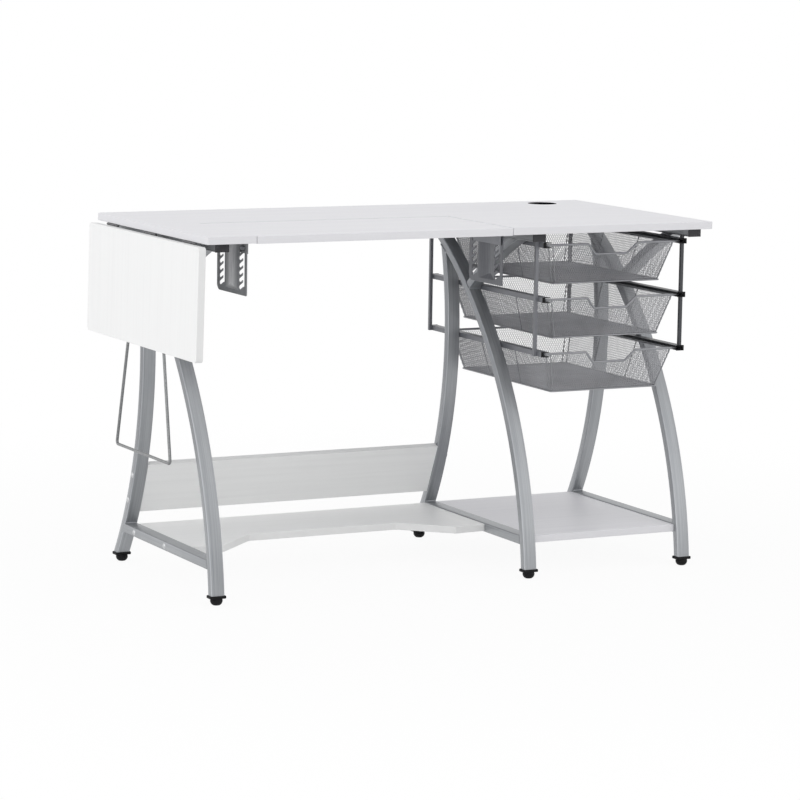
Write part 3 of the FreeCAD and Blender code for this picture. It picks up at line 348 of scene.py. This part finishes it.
def board_material(name, grain, across, dark, light):
    """Laminate with a faint printed grain and edge bands a little greyer than the faces.

    grain stretches the noise along the board; across is the axis through its thickness.
    """
    m = Shader(name)
    streaks = m.noise(scale=1.0, detail=4.0, stretch=grain, rough=0.6)
    broad = m.noise(scale=1.6, detail=2.0)
    middle = tuple((a + 2 * b) / 3 for a, b in zip(dark, light))
    shade = tuple(0.97 * tone for tone in dark)
    edge = tuple(EDGE_BAND * tone for tone in light)
    colour = m.ramp(streaks, ((0.30, dark), (0.50, middle), (0.72, light)))
    colour = m.mix(m.spread(broad, low=0.0, high=0.12), colour, shade)
    on_face = m.math("ABSOLUTE", m.part(m.facing, across))
    on_edge = m.spread(on_face, low=1.0, high=0.0, start=0.2, end=0.8)
    m.link(m.mix(on_edge, colour, edge), m.surface.inputs["Base Color"])
    m.link(m.spread(streaks, low=0.38, high=0.50), m.surface.inputs["Roughness"])
    m.set(Specular_IOR_Level=0.35)
    m.bump(m.noise(scale=900.0, detail=2.0), strength=0.06, distance=0.0002)
    return m.material


def painted_corner_lines(m, across, up, tone):
    """Tone of a painted line along each corner of a tube, a highlight above 1 and shade below, found
    by the distance on the way round it.
    """
    arc = math.pi / 2 * TUBE_CORNER
    wide, narrow = across - 2 * TUBE_CORNER, up - 2 * TUBE_CORNER
    round_all = 2 * (wide + narrow + 2 * arc)
    reach = CORNER_LIGHT_FADE / round_all
    stops = []
    here = arc / 2
    for run in (wide, narrow, wide, narrow):
        place = here / round_all
        stops += [(place - reach, PLAIN), (place, tone), (place + reach, PLAIN)]
        here += arc + run
    way_round = m.spread(m.part(m.distances, "X"), low=0.0, high=1.0, start=0.0, end=round_all)
    return m.ramp(way_round, stops)


def shaded_sides(m, tone):
    """Painted shade on a tube's narrow faces: PLAIN low down and the given tone high up."""
    lowest, highest = SIDE_SHADE_HEIGHTS
    height = m.spread(m.part(m.place, "Z"), low=0.0, high=1.0, start=lowest, end=highest)
    sideways = m.math("ABSOLUTE", m.part(m.facing, "X"))
    return m.mix(sideways, PLAIN, m.mix(height, PLAIN, tone))


def drawn_tube(name, across, up, corner, side_shade_high):
    """Silver coat on drawn tube, with drawn lines along it and a painted line along each corner, a
    highlight on the legs and shade on the bars.

    across and up are the widths of its wide and narrow faces, corner is the tone of the painted
    corner lines and side_shade_high that of the painted shade on a narrow face high up.
    """
    m = Shader(name)
    lines = m.noise(scale=1.0, detail=4.0, stretch=DRAWN_LINES, rough=0.75, place=m.distances)
    broad = m.noise(scale=5.0, detail=3.0)
    speck = m.noise(scale=4200.0, detail=1.0)
    colour = m.two_tone(m.mix(0.25, lines, broad), *SILVER, edge=0.36)
    colour = m.mix(m.spread(speck, low=0.0, high=0.10), colour, SILVER_SPECK)
    # Painted line along the corners: a highlight on the legs, shade on the bars.
    colour = m.times(colour, painted_corner_lines(m, across, up, corner))
    # Painted shade on a leg's narrow faces, darker higher up.
    colour = m.times(colour, shaded_sides(m, side_shade_high))
    m.link(colour, m.surface.inputs["Base Color"])
    m.link(m.spread(lines, low=0.34, high=0.50), m.surface.inputs["Roughness"])
    m.set(Metallic=0.65)
    m.bump(m.noise(scale=1500.0, detail=2.0), strength=0.08, distance=0.0003)
    return m.material


def coated_metal(name, dark, light, metallic, roughness):
    """Powder coat: a fine orange peel with metal flakes."""
    m = Shader(name)
    peel = m.noise(scale=1400.0, detail=3.0)
    broad = m.noise(scale=7.0, detail=3.0)
    speck = m.noise(scale=5200.0, detail=1.0)
    flake = tuple(1.5 * tone for tone in light)
    colour = m.mix(m.spread(speck, low=0.0, high=0.12), m.two_tone(broad, dark, light), flake)
    m.link(colour, m.surface.inputs["Base Color"])
    worn = m.spread(broad, low=roughness - 0.05, high=roughness + 0.06)
    m.link(worn, m.surface.inputs["Roughness"])
    m.set(Metallic=metallic)
    m.bump(peel, strength=0.10, distance=0.0003)
    return m.material


def pressed_plate(name, face_x, crest_x, flat_tones, crest_tones):
    """A coat with streaks up the plate, brighter towards the crest of the rib that stands out of it.
    """
    m = Shader(name)
    streaks = m.noise(scale=1.0, detail=4.0, stretch=PLATE_STREAKS, rough=0.7)
    flat = m.two_tone(streaks, *flat_tones, edge=0.38)
    crest = m.two_tone(streaks, *crest_tones, edge=0.38)
    raised = m.spread(m.part(m.place, "X"), low=0.0, high=1.0, start=face_x, end=crest_x)
    m.link(m.mix(raised, flat, crest), m.surface.inputs["Base Color"])
    m.link(m.spread(streaks, low=0.34, high=0.46), m.surface.inputs["Roughness"])
    m.set(Metallic=0.25)
    m.bump(m.noise(scale=1400.0, detail=3.0), strength=0.10, distance=0.0003)
    return m.material


def plated_metal(name, dark, light, roughness, metallic=0.85):
    """Plating with a fine drawn texture."""
    m = Shader(name)
    drawn = m.noise(scale=350.0, detail=4.0)
    m.link(m.two_tone(drawn, dark, light), m.surface.inputs["Base Color"])
    worn = m.spread(drawn, low=roughness - 0.06, high=roughness + 0.08)
    m.link(worn, m.surface.inputs["Roughness"])
    m.set(Metallic=metallic)
    m.bump(drawn, strength=0.05, distance=0.0002)
    return m.material


def moulded_plastic(name, dark, light, shine):
    """Matt plastic with a fine moulded grain."""
    m = Shader(name)
    grain = m.noise(scale=1800.0, detail=3.0)
    broad = m.noise(scale=30.0, detail=3.0)
    m.link(m.two_tone(broad, dark, light), m.surface.inputs["Base Color"])
    m.link(m.spread(grain, low=0.50, high=0.68), m.surface.inputs["Roughness"])
    m.set(Specular_IOR_Level=shine)
    m.bump(grain, strength=0.12, distance=0.0002)
    return m.material


# Stretches of the noise, finest across the grain, the drawn lines and the streaks.
ALONG_GRAIN = (2.0, 90.0, 90.0)
DOWN_GRAIN = (90.0, 90.0, 2.0)
DRAWN_LINES = (420.0, 2.5, 1.0)
PLATE_STREAKS = (1.0, 330.0, 14.0)

# The darkest and the lightest tone of a coat, or of one part of it.
SILVER = (0.262, 0.274, 0.292), (0.425, 0.437, 0.452)
SILVER_SPECK = (0.52, 0.53, 0.54)
# Lit and shaded copies of one plate coat: the left plate's pale tones are painted light, the right
# plate's dark tones painted shade.
LIT_PLATE_FLAT = (0.255, 0.260, 0.272), (0.305, 0.310, 0.323)
LIT_PLATE_CREST = (0.62, 0.625, 0.635), (0.92, 0.922, 0.930)
SHADED_PLATE_FLAT = (0.088, 0.092, 0.105), (0.120, 0.124, 0.138)
SHADED_PLATE_CREST = (0.125, 0.129, 0.142), (0.175, 0.180, 0.194)

# Copies of one white laminate in different tones, as painted light: the main shelf's, the panel's
# and the leaf's copies are painted lighter than the top's, for the light each board gets.
WHITE = board_material("white_board_along", ALONG_GRAIN, "Z",
                       dark=(0.790, 0.788, 0.824), light=(0.850, 0.848, 0.876))
WHITE_LIT_LOW = board_material("white_board_low_painted_light", ALONG_GRAIN, "Z",
                           dark=(0.890, 0.895, 0.892), light=(0.930, 0.935, 0.932))
WHITE_LIT_PANEL = board_material("white_board_panel_painted_light", ALONG_GRAIN, "Y",
                             dark=(0.840, 0.844, 0.842), light=(0.882, 0.887, 0.884))
WHITE_LIT_LEAF = board_material("white_board_down_painted_light", DOWN_GRAIN, "X",
                            dark=(0.870, 0.873, 0.873), light=(0.905, 0.908, 0.908))
# Legs also get painted shade on their narrow faces high up.
# Painted light on the tubes: a highlight along the legs' corners and shade along the bars' corners.
LEG_SILVER = drawn_tube("leg_silver", TUBE_WIDTH, 2 * LEG_HALF, LEG_CORNER_HIGHLIGHT, SIDE_SHADE_HIGH)
BAR_SILVER = drawn_tube("bar_silver", TUBE_WIDTH, BAR_HEIGHT, BAR_CORNER_SHADE, PLAIN)
DARK = coated_metal("dark_coat", dark=(0.145, 0.149, 0.164), light=(0.195, 0.200, 0.218),
                    metallic=0.25, roughness=0.40)
# A copy of the dark coat painted darker, as painted shade on the right posts and runners, which sit
# in the baskets' shade.
DARK_COAT_SHADED = coated_metal("dark_coat_painted_shade", dark=(0.040, 0.042, 0.048), light=(0.062, 0.064, 0.071),
                    metallic=0.25, roughness=0.40)
WIRE = coated_metal("wire_coat", dark=(0.235, 0.240, 0.255), light=(0.290, 0.295, 0.310),
                    metallic=0.45, roughness=0.32)
NET = coated_metal("mesh_coat", dark=(0.325, 0.328, 0.348), light=(0.500, 0.503, 0.526),
                   metallic=0.30, roughness=0.40)
ROD = plated_metal("support_plating", dark=(0.18, 0.185, 0.19), light=(0.27, 0.275, 0.28),
                   roughness=0.30)
ZINC = plated_metal("zinc_plating", dark=(0.48, 0.49, 0.50), light=(0.60, 0.61, 0.62),
                    roughness=0.30, metallic=0.6)
HINGE = plated_metal("hinge_plating", dark=(0.10, 0.10, 0.105), light=(0.16, 0.16, 0.165),
                     roughness=0.40)
BLACK = moulded_plastic("black_plastic", dark=(0.006, 0.006, 0.007),
                        light=(0.012, 0.012, 0.013), shine=0.15)
GROMMET = moulded_plastic("grommet_plastic", dark=(0.004, 0.004, 0.005),
                          light=(0.009, 0.009, 0.010), shine=0.0)
CAP = moulded_plastic("cap_plastic", dark=(0.030, 0.030, 0.034),
                      light=(0.045, 0.045, 0.049), shine=0.30)


def dress(material, *names):
    """Gives CAD nodes that stay a material."""
    for name in names:
        mesh = NODES[name].data
        mesh.materials.clear()
        mesh.materials.append(material)


def dress_notched_plates():
    """The left plate's rib stands out of it to the left, and the right plate's to the right; the
    left plate's coat is painted light and the right plate's painted shade.
    """
    for name, back, sense, flat, crest in (("left_notched_plate", 1, -1, LIT_PLATE_FLAT, LIT_PLATE_CREST),
                                           ("right_notched_plate", 0, 1, SHADED_PLATE_FLAT, SHADED_PLATE_CREST)):
        back_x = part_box(name)[back].x
        face_x, crest_x = back_x + sense * FLAT_REACH, back_x + sense * RIB_REACH
        dress(pressed_plate(name + "_coat", face_x, crest_x, flat, crest), name)


def dress_nodes():
    """Materials of the CAD nodes that the scene keeps."""
    dress(WHITE, "table_top", "platform_board", "side_shelf")
    # Painted light: the main shelf, the panel and the leaf get lighter copies of the white laminate.
    dress(WHITE_LIT_LOW, "main_shelf")
    dress(WHITE_LIT_PANEL, "modesty_panel")
    dress(WHITE_LIT_LEAF, "drop_leaf")
    dress(DARK, "platform_hangers", "left_drawer_posts")
    # Painted shade: the right posts and runners get the darker copy of the dark coat.
    dress(DARK_COAT_SHADED, "right_drawer_posts")
    dress_notched_plates()
    dress(DARK, *[level + "_left_runner" for level in LEVELS])
    dress(DARK_COAT_SHADED, *[level + "_right_runner" for level in LEVELS])
    dress(HINGE, "hinge_fixed_plates", "hinge_moving_plates", "hinge_pins")
    dress(ZINC, "panel_bolts", "shelf_bolts", "rail_screws", "underside_screws",
          "platform_screws", "leaf_screws")
    dress(ROD, "leaf_support")
    dress(CAP, "rail_end_caps")
    dress(GROMMET, "grommet_ring", "grommet_cap")
    dress(BLACK, "foot_caps", "runner_end_caps", "support_clips")
    dress(BLACK, *[side + which + "_glide" for side in SIDES for which in ("_front", "_back")])


# ---- end frames ---------------------------------------------------------------------------
def upper_crossing(own, other_middle, other_radius):
    """Angle on the circle own where it meets another circle, at the higher of the crossings."""
    (y, z), radius = own
    dy, dz = other_middle[0] - y, other_middle[1] - z
    gap = math.hypot(dy, dz)
    along = math.atan2(dz, dy)
    swing = math.acos((radius ** 2 + gap ** 2 - other_radius ** 2) / (2 * radius * gap))
    return max(along - swing, along + swing, key=math.sin)


def angle_at_height(own, z, side):
    """Angle on a circle at a height, on the side of its middle that side names."""
    (_, mid_z), radius = own
    lean = math.asin((z - mid_z) / radius)
    return lean if side > 0 else math.pi - lean


def bent_tube(name, x, bend, ends, welded, steps=48):
    """A rectangular tube with round corners on an arc; ends gives each line's two angles.

    A welded one has a seam round its last end, where it meets the front leg.
    """
    middle, radius = bend
    lines = []
    for across, out in rounded_rectangle(TUBE_WIDTH / 2, LEG_HALF, TUBE_CORNER):
        own = (middle, radius + out)
        start, end = ends(own)
        line = []
        for k in range(steps + 1):
            angle = start + (end - start) * k / steps
            line.append(Vector((x + across, middle[0] + own[1] * math.cos(angle),
                                middle[1] + own[1] * math.sin(angle))))
        lines.append(line)
    piece = Builder()
    piece.rows([[line[k] for line in lines] for k in range(steps + 1)])
    if welded:
        piece.tube([line[-1] for line in lines], SEAM_RADIUS, sides=8, closed=True)
    made = piece.make(name + "_tube", "table", LEG_SILVER)
    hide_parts(name)


def straight_tube(name, ends_at, welded):
    """A rectangular tube along y; ends_at gives the two y of the line at a height.

    A welded one has a bead across its top at both ends.
    """
    low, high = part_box(name)
    x = middle_x(name)
    z = (low.z + high.z) / 2
    half = (high.z - low.z) / 2
    rows = [[], []]
    for across, up in rounded_rectangle(TUBE_WIDTH / 2, half, TUBE_CORNER):
        for row, y in zip(rows, ends_at(z + up)):
            row.append(Vector((x - across, y, z + up)))
    piece = Builder()
    piece.rows(rows)
    if welded:
        for y, sense in zip(ends_at(high.z), (1, -1)):
            weld_bead(piece, x, y + sense * WELD_RADIUS / 2, high.z + WELD_RADIUS / 2)
    made = piece.make(name + "_tube", "table", BAR_SILVER)
    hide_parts(name)


def weld_bead(piece, x, y, z):
    """A rippled bead across a tube."""
    reach = TUBE_WIDTH / 2 - TUBE_CORNER
    turns = [2 * math.pi * k / WELD_SIDES for k in range(WELD_SIDES)]
    rows = []
    for k in range(WELD_RIPPLES + 1):
        size = WELD_RADIUS * (1.0 if k % 2 else WELD_TROUGH)
        across = x - reach + 2 * reach * k / WELD_RIPPLES
        rows.append([Vector((across, y + size * math.cos(turn), z + size * math.sin(turn)))
                     for turn in turns])
    piece.rows(rows)


def make_end_frames():
    """The five silver tubes of each of the three frames, each ended where it meets the next."""
    front_middle, front_radius = FRONT_LEG_BEND
    back_middle, back_radius = BACK_LEG_BEND
    rail_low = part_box("left_top_rail")[0].z

    def front_ends(own):
        return angle_at_height(own, FOOT_TOP, -1), angle_at_height(own, rail_low, -1)

    def back_ends(own):
        upper = upper_crossing(own, front_middle, front_radius - LEG_HALF)
        return angle_at_height(own, FOOT_TOP, -1) % (2 * math.pi), upper % (2 * math.pi)

    def brace_ends(own):
        lower = upper_crossing(own, front_middle, front_radius + LEG_HALF)
        return angle_at_height(own, rail_low, 1), lower

    def stretcher_ends(z):
        front = math.sqrt((front_radius - LEG_HALF) ** 2 - (z - front_middle[1]) ** 2)
        back = math.sqrt((back_radius + LEG_HALF) ** 2 - (z - back_middle[1]) ** 2)
        return front_middle[0] - front, back_middle[0] - back

    def rail_ends(_):
        """A rail is cut square, so its ends are the same at every height."""
        low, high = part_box("left_top_rail")
        return low.y, high.y

    for side in SIDES:
        x = middle_x(side + "_top_rail")
        bent_tube(side + "_front_leg", x, FRONT_LEG_BEND, front_ends, welded=False)
        bent_tube(side + "_back_leg", x, BACK_LEG_BEND, back_ends, welded=True)
        bent_tube(side + "_brace", x, BRACE_BEND, brace_ends, welded=True)
        straight_tube(side + "_stretcher", stretcher_ends, welded=True)
        straight_tube(side + "_top_rail", rail_ends, welded=False)


# ---- wire baskets -------------------------------------------------------------------------
class Basket:
    """Measures of one basket, taken from its CAD node of rods."""

    def __init__(self, level):
        self.level = level
        rods_low, rods_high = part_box(level + "_basket_frame")
        self.rim_z = rods_high.z - RIM_RADIUS
        self.left, self.right = rods_low.x + RIM_RADIUS, rods_high.x - RIM_RADIUS
        self.front, self.back = rods_low.y + RIM_RADIUS, rods_high.y - RIM_RADIUS
        self.wall_x = (self.left + FLANGE, self.right - FLANGE)
        self.floor_z = self.rim_z - WALL_HEIGHT
        self.runs = self.rim_runs()
        self.perimeter = sum(self.runs)

    def sides(self, drop, out=0.0):
        """(left, right, front, back) of the walls a share drop of the way down."""
        left, right = self.wall_x
        return (left + SIDE_TAPER * drop - out, right - SIDE_TAPER * drop + out,
                self.front + FRONT_TAPER * drop - out, self.back - BACK_TAPER * drop + out)

    def rim_runs(self):
        """Lengths round the top of the walls: front wall, corner, right wall, corner and so on."""
        left, right, front, back = self.sides(0)
        corner = math.pi / 2 * BASKET_CORNER
        width, depth = right - left - 2 * BASKET_CORNER, back - front - 2 * BASKET_CORNER
        return (width, corner, depth, corner) * 2

    def point(self, place, drop):
        """The point at place, from 0 to 1, round the walls from the left end of the front one."""
        left, right, front, back = self.sides(drop)
        r = BASKET_CORNER
        z = self.rim_z - WALL_HEIGHT * drop
        starts = ((left + r, front), (right, front + r), (right - r, back), (left, back - r))
        ends = ((right - r, front), (right, back - r), (left + r, back), (left, front + r))
        turns = ((right - r, front + r), (right - r, back - r),
                 (left + r, back - r), (left + r, front + r))
        distance = (place % 1.0) * self.perimeter
        for i, run in enumerate(self.runs):
            if distance > run:
                distance -= run
                continue
            wall, at_corner = divmod(i, 2)
            share = distance / run
            if at_corner:
                x, y = turns[wall]
                angle = math.radians(90 * (wall - 1) + 90 * share)
                return Vector((x + r * math.cos(angle), y + r * math.sin(angle), z))
            (x0, y0), (x1, y1) = starts[wall], ends[wall]
            return Vector((x0 + (x1 - x0) * share, y0 + (y1 - y0) * share, z))
        return Vector((*starts[0], z))

    def outward(self, place, drop):
        """The wall's outward direction at a point."""
        step = 0.001
        along = self.point(place + step, drop) - self.point(place - step, drop)
        up = self.point(place, drop - step) - self.point(place, drop + step)
        return along.cross(up).normalized()

    def dip_half(self, drop):
        """Half the width of the finger dip at a share drop down the front wall, or 0 below it."""
        depth = WALL_HEIGHT * drop
        if depth > DIP_DEPTH:
            return 0.0
        return (DIP_TOP + (DIP_BOTTOM - DIP_TOP) * depth / DIP_DEPTH) / 2

    def in_dip(self, point, drop):
        middle = (self.left + self.right) / 2
        on_front = point.y < (self.front + self.back) / 2
        return on_front and abs(point.x - middle) < self.dip_half(drop)


def flat_wire(piece, path, normals, radius):
    """A four-sided wire along path, its diagonal on the wall's normals."""
    rows = []
    for i, here in enumerate(path):
        along = (path[min(i + 1, len(path) - 1)] - path[max(i - 1, 0)]).normalized()
        out = normals[i]
        across = along.cross(out).normalized()
        rows.append([here + out * radius, here + across * radius,
                     here - out * radius, here - across * radius])
    piece.rows(rows, caps=False)


def dip_edge(in_dip, low, high):
    """The drop between two others where a wire crosses the finger dip's edge, by halving."""
    for _ in range(DIP_HALVINGS):
        middle = (low + high) / 2
        if in_dip(middle) == in_dip(low):
            low = middle
        else:
            high = middle
    return low


def wall_wire(basket, start, lean, steps=8):
    """Runs of (point, normal) down the walls, broken where the finger dip is."""
    def at(drop):
        place = start + lean * drop * WALL_HEIGHT * MESH_LEAN / basket.perimeter
        return basket.point(place, drop), place

    def in_dip(drop):
        return basket.in_dip(at(drop)[0], drop)

    drops = [k / steps for k in range(steps + 1)]
    runs = [[]]
    for before, drop in zip(drops[:1] + drops, drops):
        if in_dip(drop) != in_dip(before):
            runs[-1].append(dip_edge(in_dip, before, drop))
            if in_dip(drop):
                runs.append([])
        if not in_dip(drop):
            runs[-1].append(drop)
    wires = []
    for run in runs:
        wire = []
        for drop in sorted(set(run)):
            point, place = at(drop)
            normal = basket.outward(place, drop)
            wire.append((point + normal * lean * MESH_WIRE, normal))
        if len(wire) > 1:
            wires.append(wire)
    return wires


def make_wall_mesh(piece, basket):
    """Two crossing families of slanting wires round the walls."""
    count = round(basket.perimeter / MESH_CELL[0])
    for lean in (1, -1):
        for k in range(count):
            for wire in wall_wire(basket, k / count, lean):
                points, normals = zip(*wire)
                flat_wire(piece, points, normals, MESH_WIRE)


def make_floor_mesh(piece, basket):
    """Two crossing families of wires within the floor's outline."""
    left, right, front, back = basket.sides(1)
    middle_x, middle_y = (left + right) / 2, (front + back) / 2
    half_x, half_y = (right - left) / 2, (back - front) / 2
    count = int((half_x + half_y * MESH_LEAN) / MESH_CELL[0])
    for lean in (1, -1):
        slope = lean * MESH_LEAN
        z = basket.floor_z + lean * MESH_WIRE
        for k in range(-count, count + 1):
            shift = k * MESH_CELL[0]
            edges = sorted(((half_x - shift) / slope, (-half_x - shift) / slope))
            low, high = max(edges[0], -half_y), min(edges[1], half_y)
            if high - low < MESH_CELL[0]:
                continue
            ends = [Vector((middle_x + shift + slope * y, middle_y + y, z)) for y in (low, high)]
            flat_wire(piece, ends, [Vector((0, 0, 1))] * 2, MESH_WIRE)


def rim_path(basket):
    """Round the rim, down into the finger dip and up again, from the middle of the left side."""
    z = basket.rim_z
    middle_y = (basket.front + basket.back) / 2
    middle = (basket.left + basket.right) / 2
    lean = DIP_DEPTH * FRONT_TAPER / WALL_HEIGHT
    dip = [Vector((middle + side * width / 2, basket.front + inset, z - drop))
           for side, width, inset, drop in ((-1, DIP_TOP, 0, 0), (-1, DIP_BOTTOM, lean, DIP_DEPTH),
                                            (1, DIP_BOTTOM, lean, DIP_DEPTH), (1, DIP_TOP, 0, 0))]
    front = [Vector((x, basket.front, z)) for x in (basket.left, basket.right)]
    back = [Vector((x, basket.back, z)) for x in (basket.right, basket.left)]
    loop = [Vector((basket.left, middle_y, z)), front[0]] + dip + [front[1]] + back
    last_corner = [back[0], back[1], loop[0]]
    return rounded_path(loop, RIM_BEND)[1:-1] + rounded_path(last_corner, RIM_BEND)[1:-1]


def add_ribs(piece, basket):
    """Rods down the outside of the walls, from the rim to the floor."""
    high = basket.sides(0, RIB_PROUD)
    low = basket.sides(1, RIB_PROUD)
    left, right, front, back = range(4)

    def between(edges, one, other, share):
        return edges[one] + share * (edges[other] - edges[one])

    def rib(x_high, y_high, x_low, y_low):
        ends = [Vector((x_high, y_high, basket.rim_z)), Vector((x_low, y_low, basket.floor_z))]
        piece.tube(ends, RIB_RADIUS, sides=8)

    for share in SIDE_RIBS:
        for wall in (left, right):
            rib(high[wall], between(high, front, back, share),
                low[wall], between(low, front, back, share))
    for share in END_RIBS:
        for wall in (front, back):
            rib(between(high, left, right, share), high[wall],
                between(low, left, right, share), low[wall])


def add_floor_rod(piece, basket):
    """A rod round the outside of the floor."""
    left, right, front, back = basket.sides(1, FLOOR_ROD_OUT)
    floor = [Vector((x, y, basket.floor_z - FLOOR_ROD_DROP))
             for x, y in ((left, front), (right, front), (right, back), (left, back))]
    path = rounded_path(floor, BASKET_CORNER, closed=True)
    piece.tube(path, FLOOR_ROD_RADIUS, sides=10, closed=True)


def add_strips(piece, basket):
    """The flat strips between rim and wall that run in the runners."""
    low_z, high_z = basket.rim_z - STRIP_HALF, basket.rim_z + STRIP_HALF
    for x0, x1 in ((basket.left, basket.wall_x[0]), (basket.wall_x[1], basket.right)):
        ring = [(x0, low_z), (x1, low_z), (x1, high_z), (x0, high_z)]
        piece.rows([[Vector((x, y, z)) for x, z in ring] for y in (basket.front, basket.back)],
                   smooth=False)


def make_basket_wires(basket):
    piece = Builder()
    piece.tube(rim_path(basket), RIM_RADIUS, sides=12, closed=True)
    add_ribs(piece, basket)
    add_floor_rod(piece, basket)
    add_strips(piece, basket)
    made = piece.make(basket.level + "_basket_rods", basket.level + "_drawer", WIRE)
    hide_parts(basket.level + "_basket_frame")


def make_baskets():
    """The wire mesh and the rods of each drawer."""
    for level in LEVELS:
        basket = Basket(level)
        piece = Builder()
        make_wall_mesh(piece, basket)
        make_floor_mesh(piece, basket)
        made = piece.make(level + "_basket_net", level + "_drawer", NET, sharp=180)
        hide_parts(level + "_basket_mesh")
        make_basket_wires(basket)


# ---- stage, light and camera --------------------------------------------------------------
def seen_as_background(nodes, links):
    """1 where the camera, a reflection or a see-through looks, 0 for the light itself."""
    seen = nodes.new("ShaderNodeLightPath")
    total = seen.outputs["Is Camera Ray"]
    for name in ("Is Glossy Ray", "Is Transmission Ray"):
        both = nodes.new("ShaderNodeMath")
        both.operation = "MAXIMUM"
        links.new(total, both.inputs[0])
        links.new(seen.outputs[name], both.inputs[1])
        total = both.outputs[0]
    return total


def floor_material():
    """White to the camera, with a little matt floor near the table that takes its shadow."""
    material = bpy.data.materials.new("pale_floor")
    material.use_nodes = True
    nodes, links = material.node_tree.nodes, material.node_tree.links
    matte = nodes["Principled BSDF"]
    matte.inputs["Base Color"].default_value = (*FLOOR_TONE, 1)
    matte.inputs["Roughness"].default_value = FLOOR_ROUGHNESS
    bright = nodes.new("ShaderNodeEmission")
    bright.inputs["Strength"].default_value = 1.0
    place = nodes.new("ShaderNodeTexCoord")
    from_middle = nodes.new("ShaderNodeVectorMath")
    from_middle.operation = "LENGTH"
    links.new(place.outputs["Object"], from_middle.inputs[0])
    fade = nodes.new("ShaderNodeMapRange")
    fade.interpolation_type = "SMOOTHSTEP"
    fade.inputs["From Min"].default_value = SHADOW_NEAR
    fade.inputs["From Max"].default_value = SHADOW_FAR
    fade.inputs["To Min"].default_value = FLOOR_BRIGHT
    fade.inputs["To Max"].default_value = 1.0
    links.new(from_middle.outputs["Value"], fade.inputs["Value"])
    share = nodes.new("ShaderNodeMath")
    share.operation = "MULTIPLY"
    links.new(seen_as_background(nodes, links), share.inputs[0])
    links.new(fade.outputs["Result"], share.inputs[1])
    mix = nodes.new("ShaderNodeMixShader")
    links.new(share.outputs[0], mix.inputs[0])
    links.new(matte.outputs[0], mix.inputs[1])
    links.new(bright.outputs[0], mix.inputs[2])
    links.new(mix.outputs[0], nodes["Material Output"].inputs["Surface"])
    return material


def make_floor():
    mesh = bpy.data.meshes.new("floor")
    low, high = -FLOOR_REACH, FLOOR_REACH
    corners = [(low, low, 0), (high, low, 0), (high, high, 0), (low, high, 0)]
    mesh.from_pydata(corners, [], [(0, 1, 2, 3)])
    mesh.materials.append(floor_material())
    floor = bpy.data.objects.new("floor", mesh)
    bpy.context.scene.collection.objects.link(floor)


def make_world():
    """Even grey light all round, seen as white by the camera and in reflections."""
    world = bpy.data.worlds.new("studio")
    bpy.context.scene.world = world
    world.use_nodes = True
    nodes, links = world.node_tree.nodes, world.node_tree.links
    background = nodes["Background"]
    background.inputs["Color"].default_value = (1, 1, 1, 1)
    strength = nodes.new("ShaderNodeMapRange")
    strength.inputs["To Min"].default_value = WORLD_LIGHT
    strength.inputs["To Max"].default_value = 1.0
    links.new(seen_as_background(nodes, links), strength.inputs["Value"])
    links.new(strength.outputs["Result"], background.inputs["Strength"])


def softbox(name, place, target, width, watts):
    """A square lamp at a place, turned to a target."""
    lamp = bpy.data.lights.new(name, "AREA")
    lamp.shape = "SQUARE"
    lamp.size = width
    lamp.energy = watts
    lamp_object = bpy.data.objects.new(name, lamp)
    bpy.context.scene.collection.objects.link(lamp_object)
    lamp_object.location = place
    lamp_object.rotation_mode = "QUATERNION"
    lamp_object.rotation_quaternion = (Vector(target) - Vector(place)).to_track_quat("-Z", "Y")


def make_camera():
    """The photograph's viewpoint: yaw to the right, pitch down and a slight roll."""
    flat_ahead = Vector((math.sin(CAMERA_YAW), math.cos(CAMERA_YAW), 0))
    ahead = flat_ahead * math.cos(CAMERA_DOWN) - Vector((0, 0, math.sin(CAMERA_DOWN)))
    level = Vector((math.cos(CAMERA_YAW), -math.sin(CAMERA_YAW), 0))
    up = level.cross(ahead)
    right = level * math.cos(CAMERA_ROLL) + up * math.sin(CAMERA_ROLL)
    above = up * math.cos(CAMERA_ROLL) - level * math.sin(CAMERA_ROLL)
    data = bpy.data.cameras.new("camera")
    data.lens = CAMERA_LENS
    data.sensor_width = CAMERA_SENSOR
    data.clip_start, data.clip_end = CAMERA_CLIP
    camera = bpy.data.objects.new("camera", data)
    bpy.context.scene.collection.objects.link(camera)
    turn = Matrix((right, above, -ahead)).transposed().to_4x4()
    camera.matrix_world = Matrix.Translation(CAMERA_AT) @ turn
    bpy.context.scene.camera = camera
    bpy.context.scene.view_settings.view_transform = "Standard"


def main():
    make_camera()
    make_world()
    make_floor()
    for name, place, target, width, watts in SOFTBOXES:
        softbox(name, place, target, width, watts)
    dress_nodes()
    make_end_frames()
    make_baskets()


main()
